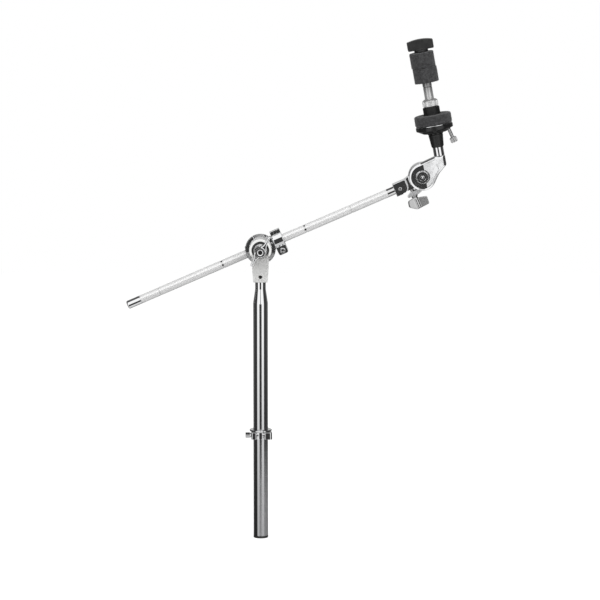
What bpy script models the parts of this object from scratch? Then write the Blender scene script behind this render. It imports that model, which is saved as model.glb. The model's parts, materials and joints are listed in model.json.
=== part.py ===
"""Boom arm that holds a closed pair of hi-hat cymbals on a 7/8 inch tube.

A chromed post carries a cast bracket. A brake disc with a rod clamp behind it swings on the
bracket, a half inch boom rod slides and rolls in that clamp, and the rod's upper end carries a
tilter: a split ring that grips the drum of a teardrop arm. The arm holds the seat stack, with
cup, felt, clutch tube, two more felts and a wing nut on top.

Frame: +Z up, +X towards the seat, the front is -Y, the origin is the middle of the post's foot.
Each group of pieces is placed on an empty: the pivot of the boom, the pivot of the tilter and the
height of the memory lock. In the boom's frame X runs along the rod and Z square to it. In the
tilter's frame Z runs up the seat stack. Their Y is the world's.
"""

import math

import bmesh
import bpy

MM = 0.001
INCH = 25.4 * MM

# ---- clearances ---------------------------------------------------------------------------
SEAT_GAP = 0.3 * MM          # between pieces that touch on the real object
PAD_SLACK = 1.5 * MM         # around the bushing, so that the seat plate can tilt

# ---- post ---------------------------------------------------------------------------------
POST_RADIUS = 0.4375 * INCH
POST_WALL = 1.5 * MM
POST_TAPER = 21.0 * MM       # length of the swaged cone
NECK_BARE = 11.5 * MM        # neck seen between the cone and the bracket
NECK_RADIUS = 8.05 * MM
CAP_HEIGHT = 3.0 * MM
CAP_SPIGOT = 15.0 * MM
CAP_EDGE = 0.8 * MM

# ---- memory lock on the post ---------------------------------------------------------------
LOCK_HEIGHT = 161.0 * MM     # middle of the collar above the foot
LOCK_DEPTH = 13.0 * MM
LOCK_WALL = 2.8 * MM
LOCK_FLANGE_RADIUS = 16.8 * MM
LOCK_FLANGE = 2.2 * MM
LOCK_SPLIT_X = 4.0 * MM
LOCK_SPLIT = 1.2 * MM
LOCK_BOLT_RADIUS = 2.5 * MM
LOCK_BOLT_WALL = 2.0 * MM    # metal between the bolt's hole and the collar's outside
LOCK_LUG_LEFT = 14.0 * MM
LOCK_LUG_RIGHT = 17.5 * MM
LOCK_HEAD = 6.4 * MM         # square of the key head
LOCK_HEAD_LENGTH = 6.0 * MM
LOCK_COLLAR_LENGTH = 2.6 * MM

# ---- bracket on the post's neck ------------------------------------------------------------
BRACKET_DROP = 49.0 * MM     # from the boom pivot down to the bracket's foot
BRACKET_FOOT_WIDTH = 21.9 * MM
BRACKET_WAIST_WIDTH = 25.2 * MM
BRACKET_DEPTH = 22.0 * MM
BRACKET_HEAD_RADIUS = 17.2 * MM
BRACKET_RIM = 2.7 * MM
BRACKET_RECESS = 3.0 * MM
BRACKET_HEAD_THICK = 10.5 * MM
BRACKET_PIN_HEIGHT = 8.0 * MM  # above the bracket's foot
BRACKET_PIN_RADIUS = 2.6 * MM
BRACKET_PIN_SINK = 2.0 * MM
BRACKET_ROUND = 3.0 * MM

# ---- boom pivot ----------------------------------------------------------------------------
PIVOT_HEIGHT = 442.5 * MM
BOOM_ANGLE = 23.45           # degrees above level
BRAKE_RADIUS = 23.0 * MM
BRAKE_THICK = 7.4 * MM
BRAKE_SLOPE = 0.9 * MM
BRAKE_NOTCH = 1.3 * MM
BRAKE_NOTCH_DEPTH = 4.0 * MM
BRAKE_NOTCH_ANGLES = (49.0, 97.0)
BRAKE_STUD_RADIUS = 1.3 * MM
BRAKE_STUD_LENGTH = 4.0 * MM
BRAKE_STUD_ANGLE = 5.5
PAD_THICK = 1.5 * MM
PAD_RADIUS = 15.5 * MM
EYE_BOLT_RADIUS = 4.0 * MM
EYE_THREAD_RADIUS = 3.0 * MM
EYE_WALL = 2.8 * MM
EYE_WIDTH = 9.2 * MM
WASHER_RADIUS = 12.4 * MM
WASHER_THICK = 3.4 * MM
WING_HUB_RADIUS = 6.7 * MM
WING_BASE_RADIUS = 8.4 * MM
WING_HUB_LENGTH = 28.0 * MM
WING_REACH = 25.3 * MM
WING_DEPTH = 15.0 * MM
WING_THREAD_SINK = 4.0 * MM

# ---- rod clamp -----------------------------------------------------------------------------
ROD_RADIUS = 0.25 * INCH
ROD_WALL = 1.5 * MM
LINER_WALL = 1.25 * MM
CLAMP_WALL = 3.3 * MM
CLAMP_LENGTH = 43.2 * MM
LINER_SLIT = 1.5 * MM

# ---- boom rod ------------------------------------------------------------------------------
ROD_TAIL = 220.0 * MM        # from the pivot to the rod's free end
ROD_TIP = 22.0 * MM
ROD_TIP_ROUND = 2.2 * MM
ROD_SPIGOT = 12.0 * MM
ROD_GROOVE = 1.8 * MM
ROD_GROOVE_DEPTH = 0.3 * MM
ROD_GROOVES = (-166.5 * MM, -62.3 * MM, 73.9 * MM, 148.8 * MM)

# ---- boom lock -----------------------------------------------------------------------------
BLOCK_LENGTH = 15.4 * MM
BLOCK_WALL = 3.3 * MM
BLOCK_SPLIT = 1.2 * MM
KNUCKLE_RADIUS = 3.6 * MM
KNUCKLE_PIN_RADIUS = 1.5 * MM
BLOCK_LUG_THICK = 5.2 * MM
BLOCK_KEY_DROP = 16.5 * MM
BLOCK_LUG_END = 5.4 * MM
BLOCK_KEY_RADIUS = 2.2 * MM
BLOCK_KEY_HEAD = 4.0 * MM
BLOCK_KEY_HEIGHT = 3.6 * MM

# ---- tilter housing on the rod's upper end ---------------------------------------------------
TILTER_REACH = 267.3 * MM    # from the boom pivot to the tilter's, along the rod
SOCKET_SETBACK = 46.7 * MM   # from the tilter's pivot back to the socket's mouth
SOCKET_LENGTH = 20.6 * MM
SOCKET_WALL = 3.1 * MM
SOCKET_SCREW_RADIUS = 2.8 * MM
TILTER_RISE = 3.0 * MM
RING_RADIUS = 21.0 * MM
RING_WALL = 4.7 * MM
RING_DEPTH = 16.5 * MM
RING_SLOT = 2.4 * MM
RING_SLOT_DROP = 9.9 * MM
EAR_DROP = 19.5 * MM
EAR_SETBACK = 33.0 * MM      # the ear runs from here
EAR_END_SETBACK = 15.3 * MM  # to here, back from the tilter's pivot
TILT_BOLT_SETBACK = 22.5 * MM
TILT_BOLT_RADIUS = 3.0 * MM
TILT_BOLT_ENTRY = 10.5 * MM
TILT_WING_HALF = 14.8 * MM
TILT_WING_HEIGHT = 14.0 * MM
TILT_WING_THICK = 5.0 * MM
TILT_HUB_RADIUS = 5.2 * MM
TILT_HUB_NECK = 3.2 * MM

# ---- tilter arm ----------------------------------------------------------------------------
STACK_LEAN = 10.1            # degrees from upright, towards the boom
STACK_OFFSET = 30.5 * MM     # from the tilter's pivot to the stack's axis
ARM_RADIUS = 20.4 * MM
ARM_THICK = 14.0 * MM
ARM_STEM_FOOT = 27.0 * MM
ARM_HEEL = 12.5 * MM
ARM_EDGE = 1.6 * MM
ARM_DISH_RADIUS = 17.5 * MM
ARM_DISH_DEPTH = 2.5 * MM
ARM_DISH_SIDE = 4.3 * MM
BOSS_RADIUS = 10.2 * MM
DRUM_FLANGE = 2.4 * MM
DRUM_FLANGE_RADIUS = 19.0 * MM
CENTRE_BOLT_RADIUS = 4.0 * MM
CENTRE_HEAD_RADIUS = 9.0 * MM
CENTRE_HEAD = 3.2 * MM
CENTRE_SINK_RADIUS = 5.4 * MM
CENTRE_SINK = 1.8 * MM
CENTRE_SCREW_RADIUS = 2.8 * MM

# ---- seat stack, heights along the stack from the level of the tilter's pivot ----------------
STEM_RADIUS = 7.95 * MM
STEM_SPIGOT_RADIUS = 5.0 * MM
STEM_SPIGOT = 11.0 * MM
STEM_ROD_RADIUS = 4.0 * MM
SLEEVE_START = 40.5 * MM
SLEEVE_LENGTH = 19.5 * MM
SLEEVE_LOW_RADIUS = 9.3 * MM
SLEEVE_TOP_RADIUS = 10.9 * MM
SLEEVE_RIBS = 10
SLEEVE_RIB = 1.1 * MM
CUP_HUB_RADIUS = 18.0 * MM
CUP_HUB_DROP = 2.4 * MM
CUP_CONE = 5.0 * MM
CUP_RADIUS = 28.0 * MM
CUP_RIM = 6.0 * MM
CUP_WELL = 3.5 * MM
CUP_RIM_WALL = 2.6 * MM
PLATE_THICK = 1.2 * MM
PLATE_RADIUS = 27.2 * MM
FELT_RADIUS = 27.8 * MM
FELT_THICK = 15.0 * MM
FELT_EDGE = 2.2 * MM
BUSHING_RADIUS = 12.6 * MM
BUSHING_STAND = 11.4 * MM    # height above the felt
NUT_RADIUS = 11.7 * MM
NUT_HEIGHT = 11.6 * MM
NUT_CHAMFER = 2.2 * MM
TUBE_RADIUS = 7.0 * MM
TUBE_FLAT = 6.2 * MM         # from the axis to each flat
TUBE_ABOVE_NUT = 18.6 * MM
COLLAR_RADIUS = 6.9 * MM
COLLAR_HEIGHT = 6.4 * MM
COLLAR_TUBE_RADIUS = 5.2 * MM
CLUTCH_FELT_RADIUS = 18.2 * MM
CLUTCH_FELT_HEIGHT = 22.8 * MM
CLUTCH_FELT_EDGE = 1.2 * MM
CLUTCH_FELT_SHIFT = 0.5 * MM
KNOB_NECK_RADIUS = 10.6 * MM
KNOB_NECK = 3.6 * MM
KNOB_HALF_WIDTH = 19.6 * MM
KNOB_HEIGHT = 13.2 * MM
KNOB_CROWN = 2.8 * MM
KNOB_THICK = 15.0 * MM
KNOB_CEILING = 4.0 * MM

# ---- tilt screw of the seat ------------------------------------------------------------------
SCREW_SPLAY = 14.3           # degrees away from the stack's axis
SCREW_CONTACT = 18.6 * MM    # from the stack's axis, where the tip meets the seat plate
SCREW_RADIUS = 2.1 * MM
SCREW_SHANK = 24.1 * MM
SCREW_HEAD_RADIUS = 4.9 * MM
SCREW_HEAD = 8.0 * MM

# ---- derived sizes ---------------------------------------------------------------------------
POST_BORE = POST_RADIUS - POST_WALL
BRACKET_FOOT = PIVOT_HEIGHT - BRACKET_DROP
NECK_START = BRACKET_FOOT - NECK_BARE
POST_SHOULDER = NECK_START - POST_TAPER
SOCKET_TOP = PIVOT_HEIGHT - BRAKE_RADIUS - SEAT_GAP
NECK_TOP = SOCKET_TOP - 3.0 * MM

LOCK_BORE = POST_RADIUS + SEAT_GAP
LOCK_RADIUS = LOCK_BORE + LOCK_WALL
LOCK_BOLT_Y = -(LOCK_BORE + LOCK_WALL / 2 + LOCK_BOLT_RADIUS + SEAT_GAP)
LOCK_LUG_FRONT = LOCK_BOLT_Y - LOCK_BOLT_RADIUS - LOCK_BOLT_WALL

BRACKET_FRONT = -BRACKET_DEPTH / 2
HEAD_BACK = BRACKET_FRONT + BRACKET_HEAD_THICK
PAD_FRONT = HEAD_BACK + SEAT_GAP
BRAKE_FRONT = PAD_FRONT + PAD_THICK + SEAT_GAP
BRAKE_BACK = BRAKE_FRONT + BRAKE_THICK

LINER_BORE = ROD_RADIUS + SEAT_GAP
LINER_RADIUS = LINER_BORE + LINER_WALL
CLAMP_BORE = LINER_RADIUS + SEAT_GAP
CLAMP_RADIUS = CLAMP_BORE + CLAMP_WALL
ROD_Y = BRAKE_BACK + CLAMP_RADIUS - 2.0 * MM
EYE_RADIUS = CLAMP_BORE + EYE_WALL

WASHER_BACK = BRACKET_FRONT + BRACKET_RECESS - SEAT_GAP
WASHER_FRONT = WASHER_BACK - WASHER_THICK
WING_BACK = WASHER_FRONT - SEAT_GAP
WING_FRONT = WING_BACK - WING_HUB_LENGTH

BLOCK_START = CLAMP_LENGTH / 2 + SEAT_GAP
BLOCK_MIDDLE = BLOCK_START + BLOCK_LENGTH / 2
BLOCK_RADIUS = LINER_BORE + BLOCK_WALL
KNUCKLE_RISE = BLOCK_RADIUS + KNUCKLE_RADIUS

SOCKET_HALF = LINER_BORE + SOCKET_WALL
SOCKET_START = TILTER_REACH - SOCKET_SETBACK
SOCKET_END = SOCKET_START + SOCKET_LENGTH
EAR_START = TILTER_REACH - EAR_SETBACK
EAR_END = TILTER_REACH - EAR_END_SETBACK
TILT_BOLT_AT = TILTER_REACH - TILT_BOLT_SETBACK
ROD_HEAD = SOCKET_END - 3.0 * MM
ARM_FRONT = ROD_Y - SOCKET_HALF - 7.6 * MM
ARM_BACK = ARM_FRONT + ARM_THICK
RING_FRONT = ARM_BACK + SEAT_GAP
RING_BACK = RING_FRONT + RING_DEPTH
RING_MIDDLE = (RING_FRONT + RING_BACK) / 2
RING_BORE = RING_RADIUS - RING_WALL
DRUM_RADIUS = RING_BORE - SEAT_GAP
STACK_Y = (ARM_FRONT + ARM_BACK) / 2

ARM_FACE = ARM_STEM_FOOT
SLEEVE_END = SLEEVE_START + SLEEVE_LENGTH
CUP_START = SLEEVE_END + SEAT_GAP
CUP_HUB = CUP_START + CUP_HUB_DROP
CUP_BAND = CUP_HUB + CUP_CONE
CUP_TOP = CUP_BAND + CUP_RIM
CUP_FLOOR = CUP_TOP - CUP_WELL
PLATE_START = CUP_TOP + SEAT_GAP
PLATE_TOP = PLATE_START + PLATE_THICK
FELT_START = PLATE_TOP + SEAT_GAP
FELT_TOP = FELT_START + FELT_THICK
BUSHING_START = CUP_FLOOR + SEAT_GAP
BUSHING_TOP = FELT_TOP + BUSHING_STAND
NUT_START = BUSHING_TOP + SEAT_GAP
NUT_TOP = NUT_START + NUT_HEIGHT
TUBE_TOP = NUT_TOP + TUBE_ABOVE_NUT
COLLAR_START = TUBE_TOP + SEAT_GAP
COLLAR_TOP = COLLAR_START + COLLAR_HEIGHT
LOW_FELT_START = COLLAR_TOP + SEAT_GAP
LOW_FELT_TOP = LOW_FELT_START + CLUTCH_FELT_HEIGHT
HIGH_FELT_START = LOW_FELT_TOP + SEAT_GAP
HIGH_FELT_TOP = HIGH_FELT_START + CLUTCH_FELT_HEIGHT
KNOB_START = HIGH_FELT_TOP + SEAT_GAP
KNOB_WINGS = KNOB_START + KNOB_NECK
KNOB_TOP = KNOB_WINGS + KNOB_HEIGHT + KNOB_CROWN
STEM_TOP = KNOB_TOP - KNOB_CEILING - SEAT_GAP
STEM_BORE = STEM_ROD_RADIUS + SEAT_GAP
PLATE_BORE = BUSHING_RADIUS + PAD_SLACK

ROUND = 24                   # facets of a middling turned piece
FINE = 32                    # of a large one
COARSE = 12                  # of a small one


# ---- scene and materials ---------------------------------------------------------------------
def clear_scene():
    for item in list(bpy.data.objects):
        bpy.data.objects.remove(item, do_unlink=True)


def new_collection(name):
    collection = bpy.data.collections.new(name)
    bpy.context.scene.collection.children.link(collection)
    return collection


def material(name, colour, roughness, metallic):
    made = bpy.data.materials.new(name)
    made.use_nodes = True
    shader = made.node_tree.nodes["Principled BSDF"]
    shader.inputs["Base Color"].default_value = (*colour, 1.0)
    shader.inputs["Roughness"].default_value = roughness
    shader.inputs["Metallic"].default_value = metallic
    made.diffuse_color = (*colour, 1.0)
    return made


clear_scene()
PARTS = new_collection("cymbal_boom_arm")
GUIDES = new_collection("cutters")

CHROME = ((0.86, 0.87, 0.88), 0.07, 1.0)
SATIN = ((0.78, 0.78, 0.79), 0.32, 1.0)
STEEL = ((0.62, 0.63, 0.64), 0.25, 1.0)
DARK_PLASTIC = ((0.02, 0.02, 0.022), 0.42, 0.0)
DARK_FELT = ((0.055, 0.055, 0.058), 0.95, 0.0)
FIBRE = ((0.05, 0.045, 0.04), 0.8, 0.0)
NYLON = ((0.16, 0.16, 0.17), 0.5, 0.0)


# ---- building blocks ---------------------------------------------------------------------------
def place(name, mesh, parent, location=(0, 0, 0), rotation=(0, 0, 0), look=None):
    """Link a mesh as a part, or as a hidden cutter or joined-on form when it has no look."""
    item = bpy.data.objects.new(name, mesh)
    item.parent = parent
    item.location = location
    item.rotation_euler = [math.radians(angle) for angle in rotation]
    if look is None:
        GUIDES.objects.link(item)
        item.hide_render = True
        item.display_type = "WIRE"
        return item
    PARTS.objects.link(item)
    mesh.materials.append(material(name, *look))
    return item


def turned(name, profile, parent, location=(0, 0, 0), rotation=(0, 0, 0), look=None,
           steps=ROUND, closed=False):
    """Turn (radius, height) points about Z. They run down the outside, top to bottom."""
    mesh = bpy.data.meshes.new(name)
    edges = [(i, i + 1) for i in range(len(profile) - 1)]
    if closed:
        edges.append((len(profile) - 1, 0))
    mesh.from_pydata([(radius, 0.0, height) for radius, height in profile], edges, [])
    item = place(name, mesh, parent, location, rotation, look)
    screw = item.modifiers.new("Turn", "SCREW")
    screw.axis = "Z"
    screw.angle = math.tau
    screw.steps = steps
    screw.render_steps = steps
    screw.use_merge_vertices = True
    screw.merge_threshold = 0.00001
    screw.use_smooth_shade = True
    return item


def tube(name, outer, inner, low, high, parent, edge=0.0, **options):
    """A plain ring from low to high with its outer edges chamfered."""
    profile = [(inner, high), (outer - edge, high), (outer, high - edge),
               (outer, low + edge), (outer - edge, low), (inner, low)]
    if edge == 0.0:
        profile = [(inner, high), (outer, high), (outer, low), (inner, low)]
    return turned(name, profile, parent, closed=True, **options)


def rod(name, radius, low, high, parent, edge=0.0, **options):
    """A plain solid cylinder from low to high with its edges chamfered."""
    profile = [(0, high), (radius - edge, high), (radius, high - edge),
               (radius, low + edge), (radius - edge, low), (0, low)]
    if edge == 0.0:
        profile = [(0, high), (radius, high), (radius, low), (0, low)]
    return turned(name, profile, parent, **options)


def box(name, low, high, parent, location=(0, 0, 0), rotation=(0, 0, 0), look=None):
    """A block between two corners given in its own frame."""
    mesh = bpy.data.meshes.new(name)
    build = bmesh.new()
    bmesh.ops.create_cube(build, size=1.0)
    for vertex in build.verts:
        for axis in range(3):
            vertex.co[axis] = high[axis] if vertex.co[axis] > 0 else low[axis]
    build.to_mesh(mesh)
    build.free()
    return place(name, mesh, parent, location, rotation, look)


def plate(name, outline, low, high, parent, location=(0, 0, 0), rotation=(0, 0, 0), look=None):
    """A flat outline of (x, y) points, extruded along Z from low to high."""
    curve = bpy.data.curves.new(name, "CURVE")
    curve.dimensions = "2D"
    curve.fill_mode = "BOTH"
    curve.extrude = (high - low) / 2
    spline = curve.splines.new("POLY")
    spline.points.add(len(outline) - 1)
    for point, (x, y) in zip(spline.points, outline):
        point.co = (x, y, 0, 1)
    spline.use_cyclic_u = True
    drawn = bpy.data.objects.new(name + "_outline", curve)
    bpy.context.scene.collection.objects.link(drawn)
    bpy.context.view_layer.update()
    evaluated = drawn.evaluated_get(bpy.context.evaluated_depsgraph_get())
    mesh = bpy.data.meshes.new_from_object(evaluated)
    mesh.name = name
    bpy.data.objects.remove(drawn, do_unlink=True)
    build = bmesh.new()
    build.from_mesh(mesh)
    bmesh.ops.remove_doubles(build, verts=build.verts, dist=0.00001)
    bmesh.ops.translate(build, verts=build.verts, vec=(0, 0, (low + high) / 2))
    bmesh.ops.recalc_face_normals(build, faces=build.faces)
    build.to_mesh(mesh)
    build.free()
    return place(name, mesh, parent, location, rotation, look)


def arc(x, y, radius, start, end, count):
    """Points on a circle from one angle to another, in degrees, both ends included."""
    angles = [math.radians(start + (end - start) * i / count) for i in range(count + 1)]
    return [(x + radius * math.cos(a), y + radius * math.sin(a)) for a in angles]


def combine(item, operation, others, solver):
    for other in others:
        step = item.modifiers.new(operation.title(), "BOOLEAN")
        step.operation = operation
        step.solver = solver
        step.object = other
    return item


def cut(item, *cutters, solver="EXACT"):
    return combine(item, "DIFFERENCE", cutters, solver)


def join(item, *others, solver="EXACT"):
    return combine(item, "UNION", others, solver)


def soften(item, width, segments=2, angle=40.0):
    """Round every edge that is sharper than the angle."""
    step = item.modifiers.new("Soften", "BEVEL")
    step.width = width
    step.segments = segments
    step.limit_method = "ANGLE"
    step.angle_limit = math.radians(angle)
    step.use_clamp_overlap = True
    return item


def frame(name, parent, location, lean):
    """An empty that holds a group of pieces, turned about Y by lean degrees."""
    item = bpy.data.objects.new(name, None)
    PARTS.objects.link(item)
    item.parent = parent
    item.location = location
    item.rotation_euler = (0, math.radians(lean), 0)
    item.empty_display_size = 0.02
    return item


FRONT = (90, 0, 0)           # turns an outline's X, Y into the frame's X, Z, and its Z into -Y
ALONG = (0, 90, 0)           # turns a piece's Z into the frame's X


# ---- post ----------------------------------------------------------------------------------------
def build_post():
    taper = [(POST_RADIUS, POST_SHOULDER), (POST_RADIUS, CAP_HEIGHT + SEAT_GAP)]
    neck = [(NECK_RADIUS, NECK_TOP), (NECK_RADIUS, NECK_START)]
    bore = [(POST_BORE, CAP_HEIGHT + SEAT_GAP), (POST_BORE, POST_SHOULDER),
            (NECK_RADIUS - POST_WALL, NECK_START), (NECK_RADIUS - POST_WALL, NECK_TOP)]
    turned("post_tube", neck + taper + bore, None, look=CHROME, steps=FINE, closed=True)
    spigot = POST_BORE - SEAT_GAP
    cap = [(0, CAP_HEIGHT + CAP_SPIGOT), (spigot - CAP_EDGE, CAP_HEIGHT + CAP_SPIGOT),
           (spigot, CAP_HEIGHT + CAP_SPIGOT - CAP_EDGE), (spigot, CAP_HEIGHT),
           (POST_RADIUS, CAP_HEIGHT), (POST_RADIUS, CAP_EDGE), (POST_RADIUS - CAP_EDGE, 0), (0, 0)]
    turned("post_end_cap", cap, None, look=DARK_PLASTIC, steps=FINE)


# ---- memory lock: a split collar with a flange, closed by a bolt across its front ----------------
def build_memory_lock():
    lock = frame("memory_lock_frame", None, (0, 0, LOCK_HEIGHT), 0)
    half = LOCK_DEPTH / 2
    profile = [(LOCK_BORE, half), (LOCK_FLANGE_RADIUS, half),
               (LOCK_FLANGE_RADIUS, half - LOCK_FLANGE), (LOCK_RADIUS, half - 2 * LOCK_FLANGE),
               (LOCK_RADIUS, -half), (LOCK_BORE, -half)]
    collar = turned("memory_lock_collar", profile, lock, look=CHROME, steps=FINE, closed=True)
    lug_low = -half
    lug_high = half - LOCK_FLANGE
    lug = box("lock_lugs", (-LOCK_LUG_LEFT, LOCK_LUG_FRONT, lug_low),
              (LOCK_LUG_RIGHT, -LOCK_BORE + LOCK_WALL, lug_high), lock)
    soften(lug, 1.2 * MM)
    bore = rod("lock_bore", LOCK_BORE, -half - MM, half + MM, lock, steps=FINE)
    split_x = LOCK_SPLIT_X
    split = box("lock_split", (split_x - LOCK_SPLIT / 2, LOCK_LUG_FRONT - MM, -LOCK_DEPTH),
                (split_x + LOCK_SPLIT / 2, 0, LOCK_DEPTH), lock)
    reach = LOCK_LUG_RIGHT - 2.0 * MM
    hole = rod("lock_bolt_hole", LOCK_BOLT_RADIUS + SEAT_GAP, -LOCK_LUG_LEFT - MM, reach, lock,
               location=(0, LOCK_BOLT_Y, 0), rotation=ALONG, steps=COARSE)
    join(collar, lug)
    cut(collar, bore, split, hole)

    face = -LOCK_LUG_LEFT - SEAT_GAP
    shoulder = face - LOCK_COLLAR_LENGTH
    bolt = [(0, reach - SEAT_GAP), (LOCK_BOLT_RADIUS, reach - SEAT_GAP), (LOCK_BOLT_RADIUS, face),
            (LOCK_HEAD * 0.66, face), (LOCK_HEAD * 0.5, shoulder), (0, shoulder)]
    screw = turned("memory_lock_bolt", bolt, lock, (0, LOCK_BOLT_Y, 0), ALONG, CHROME, COARSE)
    side = LOCK_HEAD / 2
    head = box("lock_key_head", (-side, -side, shoulder - LOCK_HEAD_LENGTH),
               (side, side, shoulder + 0.5 * MM), lock, (0, LOCK_BOLT_Y, 0), ALONG)
    soften(head, 0.8 * MM)
    join(screw, head)


# ---- bracket: a tapered casting with a round rimmed head in front of the brake disc --------------
def build_bracket():
    low = BRACKET_FOOT
    top = SOCKET_TOP
    foot = BRACKET_FOOT_WIDTH / 2
    waist = BRACKET_WAIST_WIDTH / 2
    back = BRACKET_DEPTH / 2
    outline = [(-foot, low), (foot, low), (waist, top), (-waist, top)]
    body = plate("boom_bracket", outline, -back, back, None, rotation=FRONT, look=SATIN)
    soften(body, BRACKET_ROUND, 3)
    lift = math.asin((PIVOT_HEIGHT - top) / BRACKET_HEAD_RADIUS / 2)
    side = 90 - math.degrees(lift)
    crown = arc(0, PIVOT_HEIGHT, BRACKET_HEAD_RADIUS, side - 90, 270 - side, 20)
    neck = [(-waist, top), (-waist + BRACKET_ROUND, low + 10 * MM),
            (waist - BRACKET_ROUND, low + 10 * MM), (waist, top)]
    head = plate("bracket_head", crown + neck, -HEAD_BACK, -BRACKET_FRONT, None, rotation=FRONT)
    soften(head, 1.3 * MM)
    recess_floor = -(BRACKET_FRONT + BRACKET_RECESS)
    recess = turned("bracket_recess",
                    [(0, back + 2 * MM), (BRACKET_HEAD_RADIUS - BRACKET_RIM + 2 * MM, back + 2 * MM),
                     (BRACKET_HEAD_RADIUS - BRACKET_RIM, back - 1.0 * MM),
                     (BRACKET_HEAD_RADIUS - BRACKET_RIM, recess_floor), (0, recess_floor)],
                    None, (0, 0, PIVOT_HEIGHT), FRONT, steps=ROUND)
    socket = rod("bracket_socket", NECK_RADIUS + SEAT_GAP, low - MM, NECK_TOP + SEAT_GAP, None)
    eye_hole = rod("bracket_bolt_hole", EYE_BOLT_RADIUS + SEAT_GAP, -back, back, None,
                   location=(0, 0, PIVOT_HEIGHT), rotation=FRONT, steps=COARSE)
    pin_level = low + BRACKET_PIN_HEIGHT
    pin_hole = rod("bracket_pin_hole", BRACKET_PIN_RADIUS + SEAT_GAP, -back - MM, back + MM, None,
                   location=(0, 0, pin_level), rotation=FRONT, steps=COARSE)
    join(body, head)
    cut(body, recess, socket, eye_hole, pin_hole, solver="MANIFOLD")
    post = bpy.data.objects["post_tube"]
    cut(post, pin_hole)
    rod("bracket_pin", BRACKET_PIN_RADIUS, -back + BRACKET_PIN_SINK, back - BRACKET_PIN_SINK, None,
        0.3 * MM, location=(0, 0, pin_level), rotation=FRONT, look=STEEL, steps=COARSE)


# ---- boom pivot: brake disc and rod clamp, eye bolt, wing nut -------------------------------------
def build_boom_pivot(boom):
    pivot = (0, 0, 0)
    face = -BRAKE_FRONT
    back = -BRAKE_BACK
    disc = turned("brake_disc_clamp",
                  [(0, face), (BRAKE_RADIUS - 5 * MM, face), (BRAKE_RADIUS - 1.2 * MM, face - BRAKE_SLOPE),
                   (BRAKE_RADIUS, face - BRAKE_SLOPE - 1.4 * MM), (BRAKE_RADIUS, back + 1.0 * MM),
                   (BRAKE_RADIUS - 1.0 * MM, back), (0, back)],
                  boom, pivot, FRONT, CHROME, FINE)
    half = CLAMP_LENGTH / 2
    sleeve = rod("clamp_sleeve", CLAMP_RADIUS, -half, half, boom, 1.0 * MM,
                 location=(0, ROD_Y, 0), rotation=ALONG, steps=ROUND)
    bore = rod("clamp_bore", CLAMP_BORE, -half - MM, half + MM, boom,
               location=(0, ROD_Y, 0), rotation=ALONG, steps=ROUND)
    slot_half = EYE_WIDTH / 2 + SEAT_GAP
    slot = box("clamp_eye_slot", (-slot_half, ROD_Y - EYE_RADIUS - SEAT_GAP, -CLAMP_RADIUS - MM),
               (slot_half, ROD_Y + CLAMP_RADIUS + MM, CLAMP_RADIUS + MM), boom)
    eye_hole = rod("disc_bolt_hole", EYE_BOLT_RADIUS + SEAT_GAP, back - 6 * MM, face + MM, boom,
                   location=pivot, rotation=FRONT, steps=COARSE)
    join(disc, sleeve)
    cut(disc, bore, slot, eye_hole, solver="MANIFOLD")
    for index, angle in enumerate(BRAKE_NOTCH_ANGLES):
        notch = box(f"brake_notch_{index}", (BRAKE_RADIUS - 5.5 * MM, BRAKE_FRONT - MM, -BRAKE_NOTCH / 2),
                    (BRAKE_RADIUS + MM, BRAKE_FRONT + BRAKE_NOTCH_DEPTH, BRAKE_NOTCH / 2),
                    boom, pivot, (0, -angle, 0))
        cut(disc, notch, solver="MANIFOLD")
    turn = math.radians(BRAKE_STUD_ANGLE)
    reach = BRAKE_RADIUS - 3.4 * MM
    spot = (reach * math.cos(turn), 0, reach * math.sin(turn))
    stud_hole = rod("brake_stud_hole", BRAKE_STUD_RADIUS + SEAT_GAP, face - BRAKE_STUD_LENGTH, face + MM,
                    boom, location=spot, rotation=FRONT, steps=COARSE)
    cut(disc, stud_hole, solver="MANIFOLD")
    rod("brake_stud", BRAKE_STUD_RADIUS, face - BRAKE_STUD_LENGTH + SEAT_GAP, face + 0.4 * MM, boom,
        0.3 * MM, location=spot, rotation=FRONT, look=STEEL, steps=COARSE)
    tube("brake_pad", PAD_RADIUS, EYE_BOLT_RADIUS + SEAT_GAP, -PAD_FRONT - PAD_THICK, -PAD_FRONT, None,
         location=(0, 0, PIVOT_HEIGHT), rotation=FRONT, look=FIBRE)

    liner = tube("clamp_liner", LINER_RADIUS, LINER_BORE, -half, half, boom,
                 location=(0, ROD_Y, 0), rotation=ALONG, look=NYLON, steps=ROUND)
    slit = box("liner_slit", (-half - MM, 0, -LINER_SLIT / 2), (half + MM, LINER_RADIUS + MM, LINER_SLIT / 2),
               boom, (0, ROD_Y, 0))
    cut(liner, slit)

    thread_end = -(WING_FRONT + WING_THREAD_SINK)
    shank = turned("clamp_eye_bolt",
                   [(0, thread_end), (EYE_THREAD_RADIUS - 0.5 * MM, thread_end),
                    (EYE_THREAD_RADIUS, thread_end - 0.5 * MM), (EYE_THREAD_RADIUS, -WASHER_BACK),
                    (EYE_BOLT_RADIUS, -WASHER_BACK), (EYE_BOLT_RADIUS, -ROD_Y + CLAMP_BORE + MM),
                    (0, -ROD_Y + CLAMP_BORE + MM)],
                   boom, pivot, FRONT, STEEL, COARSE)
    eye = tube("bolt_eye", EYE_RADIUS, CLAMP_BORE, -EYE_WIDTH / 2, EYE_WIDTH / 2, boom, 0.8 * MM,
               location=(0, ROD_Y, 0), rotation=ALONG, steps=ROUND)
    join(shank, eye)


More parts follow.
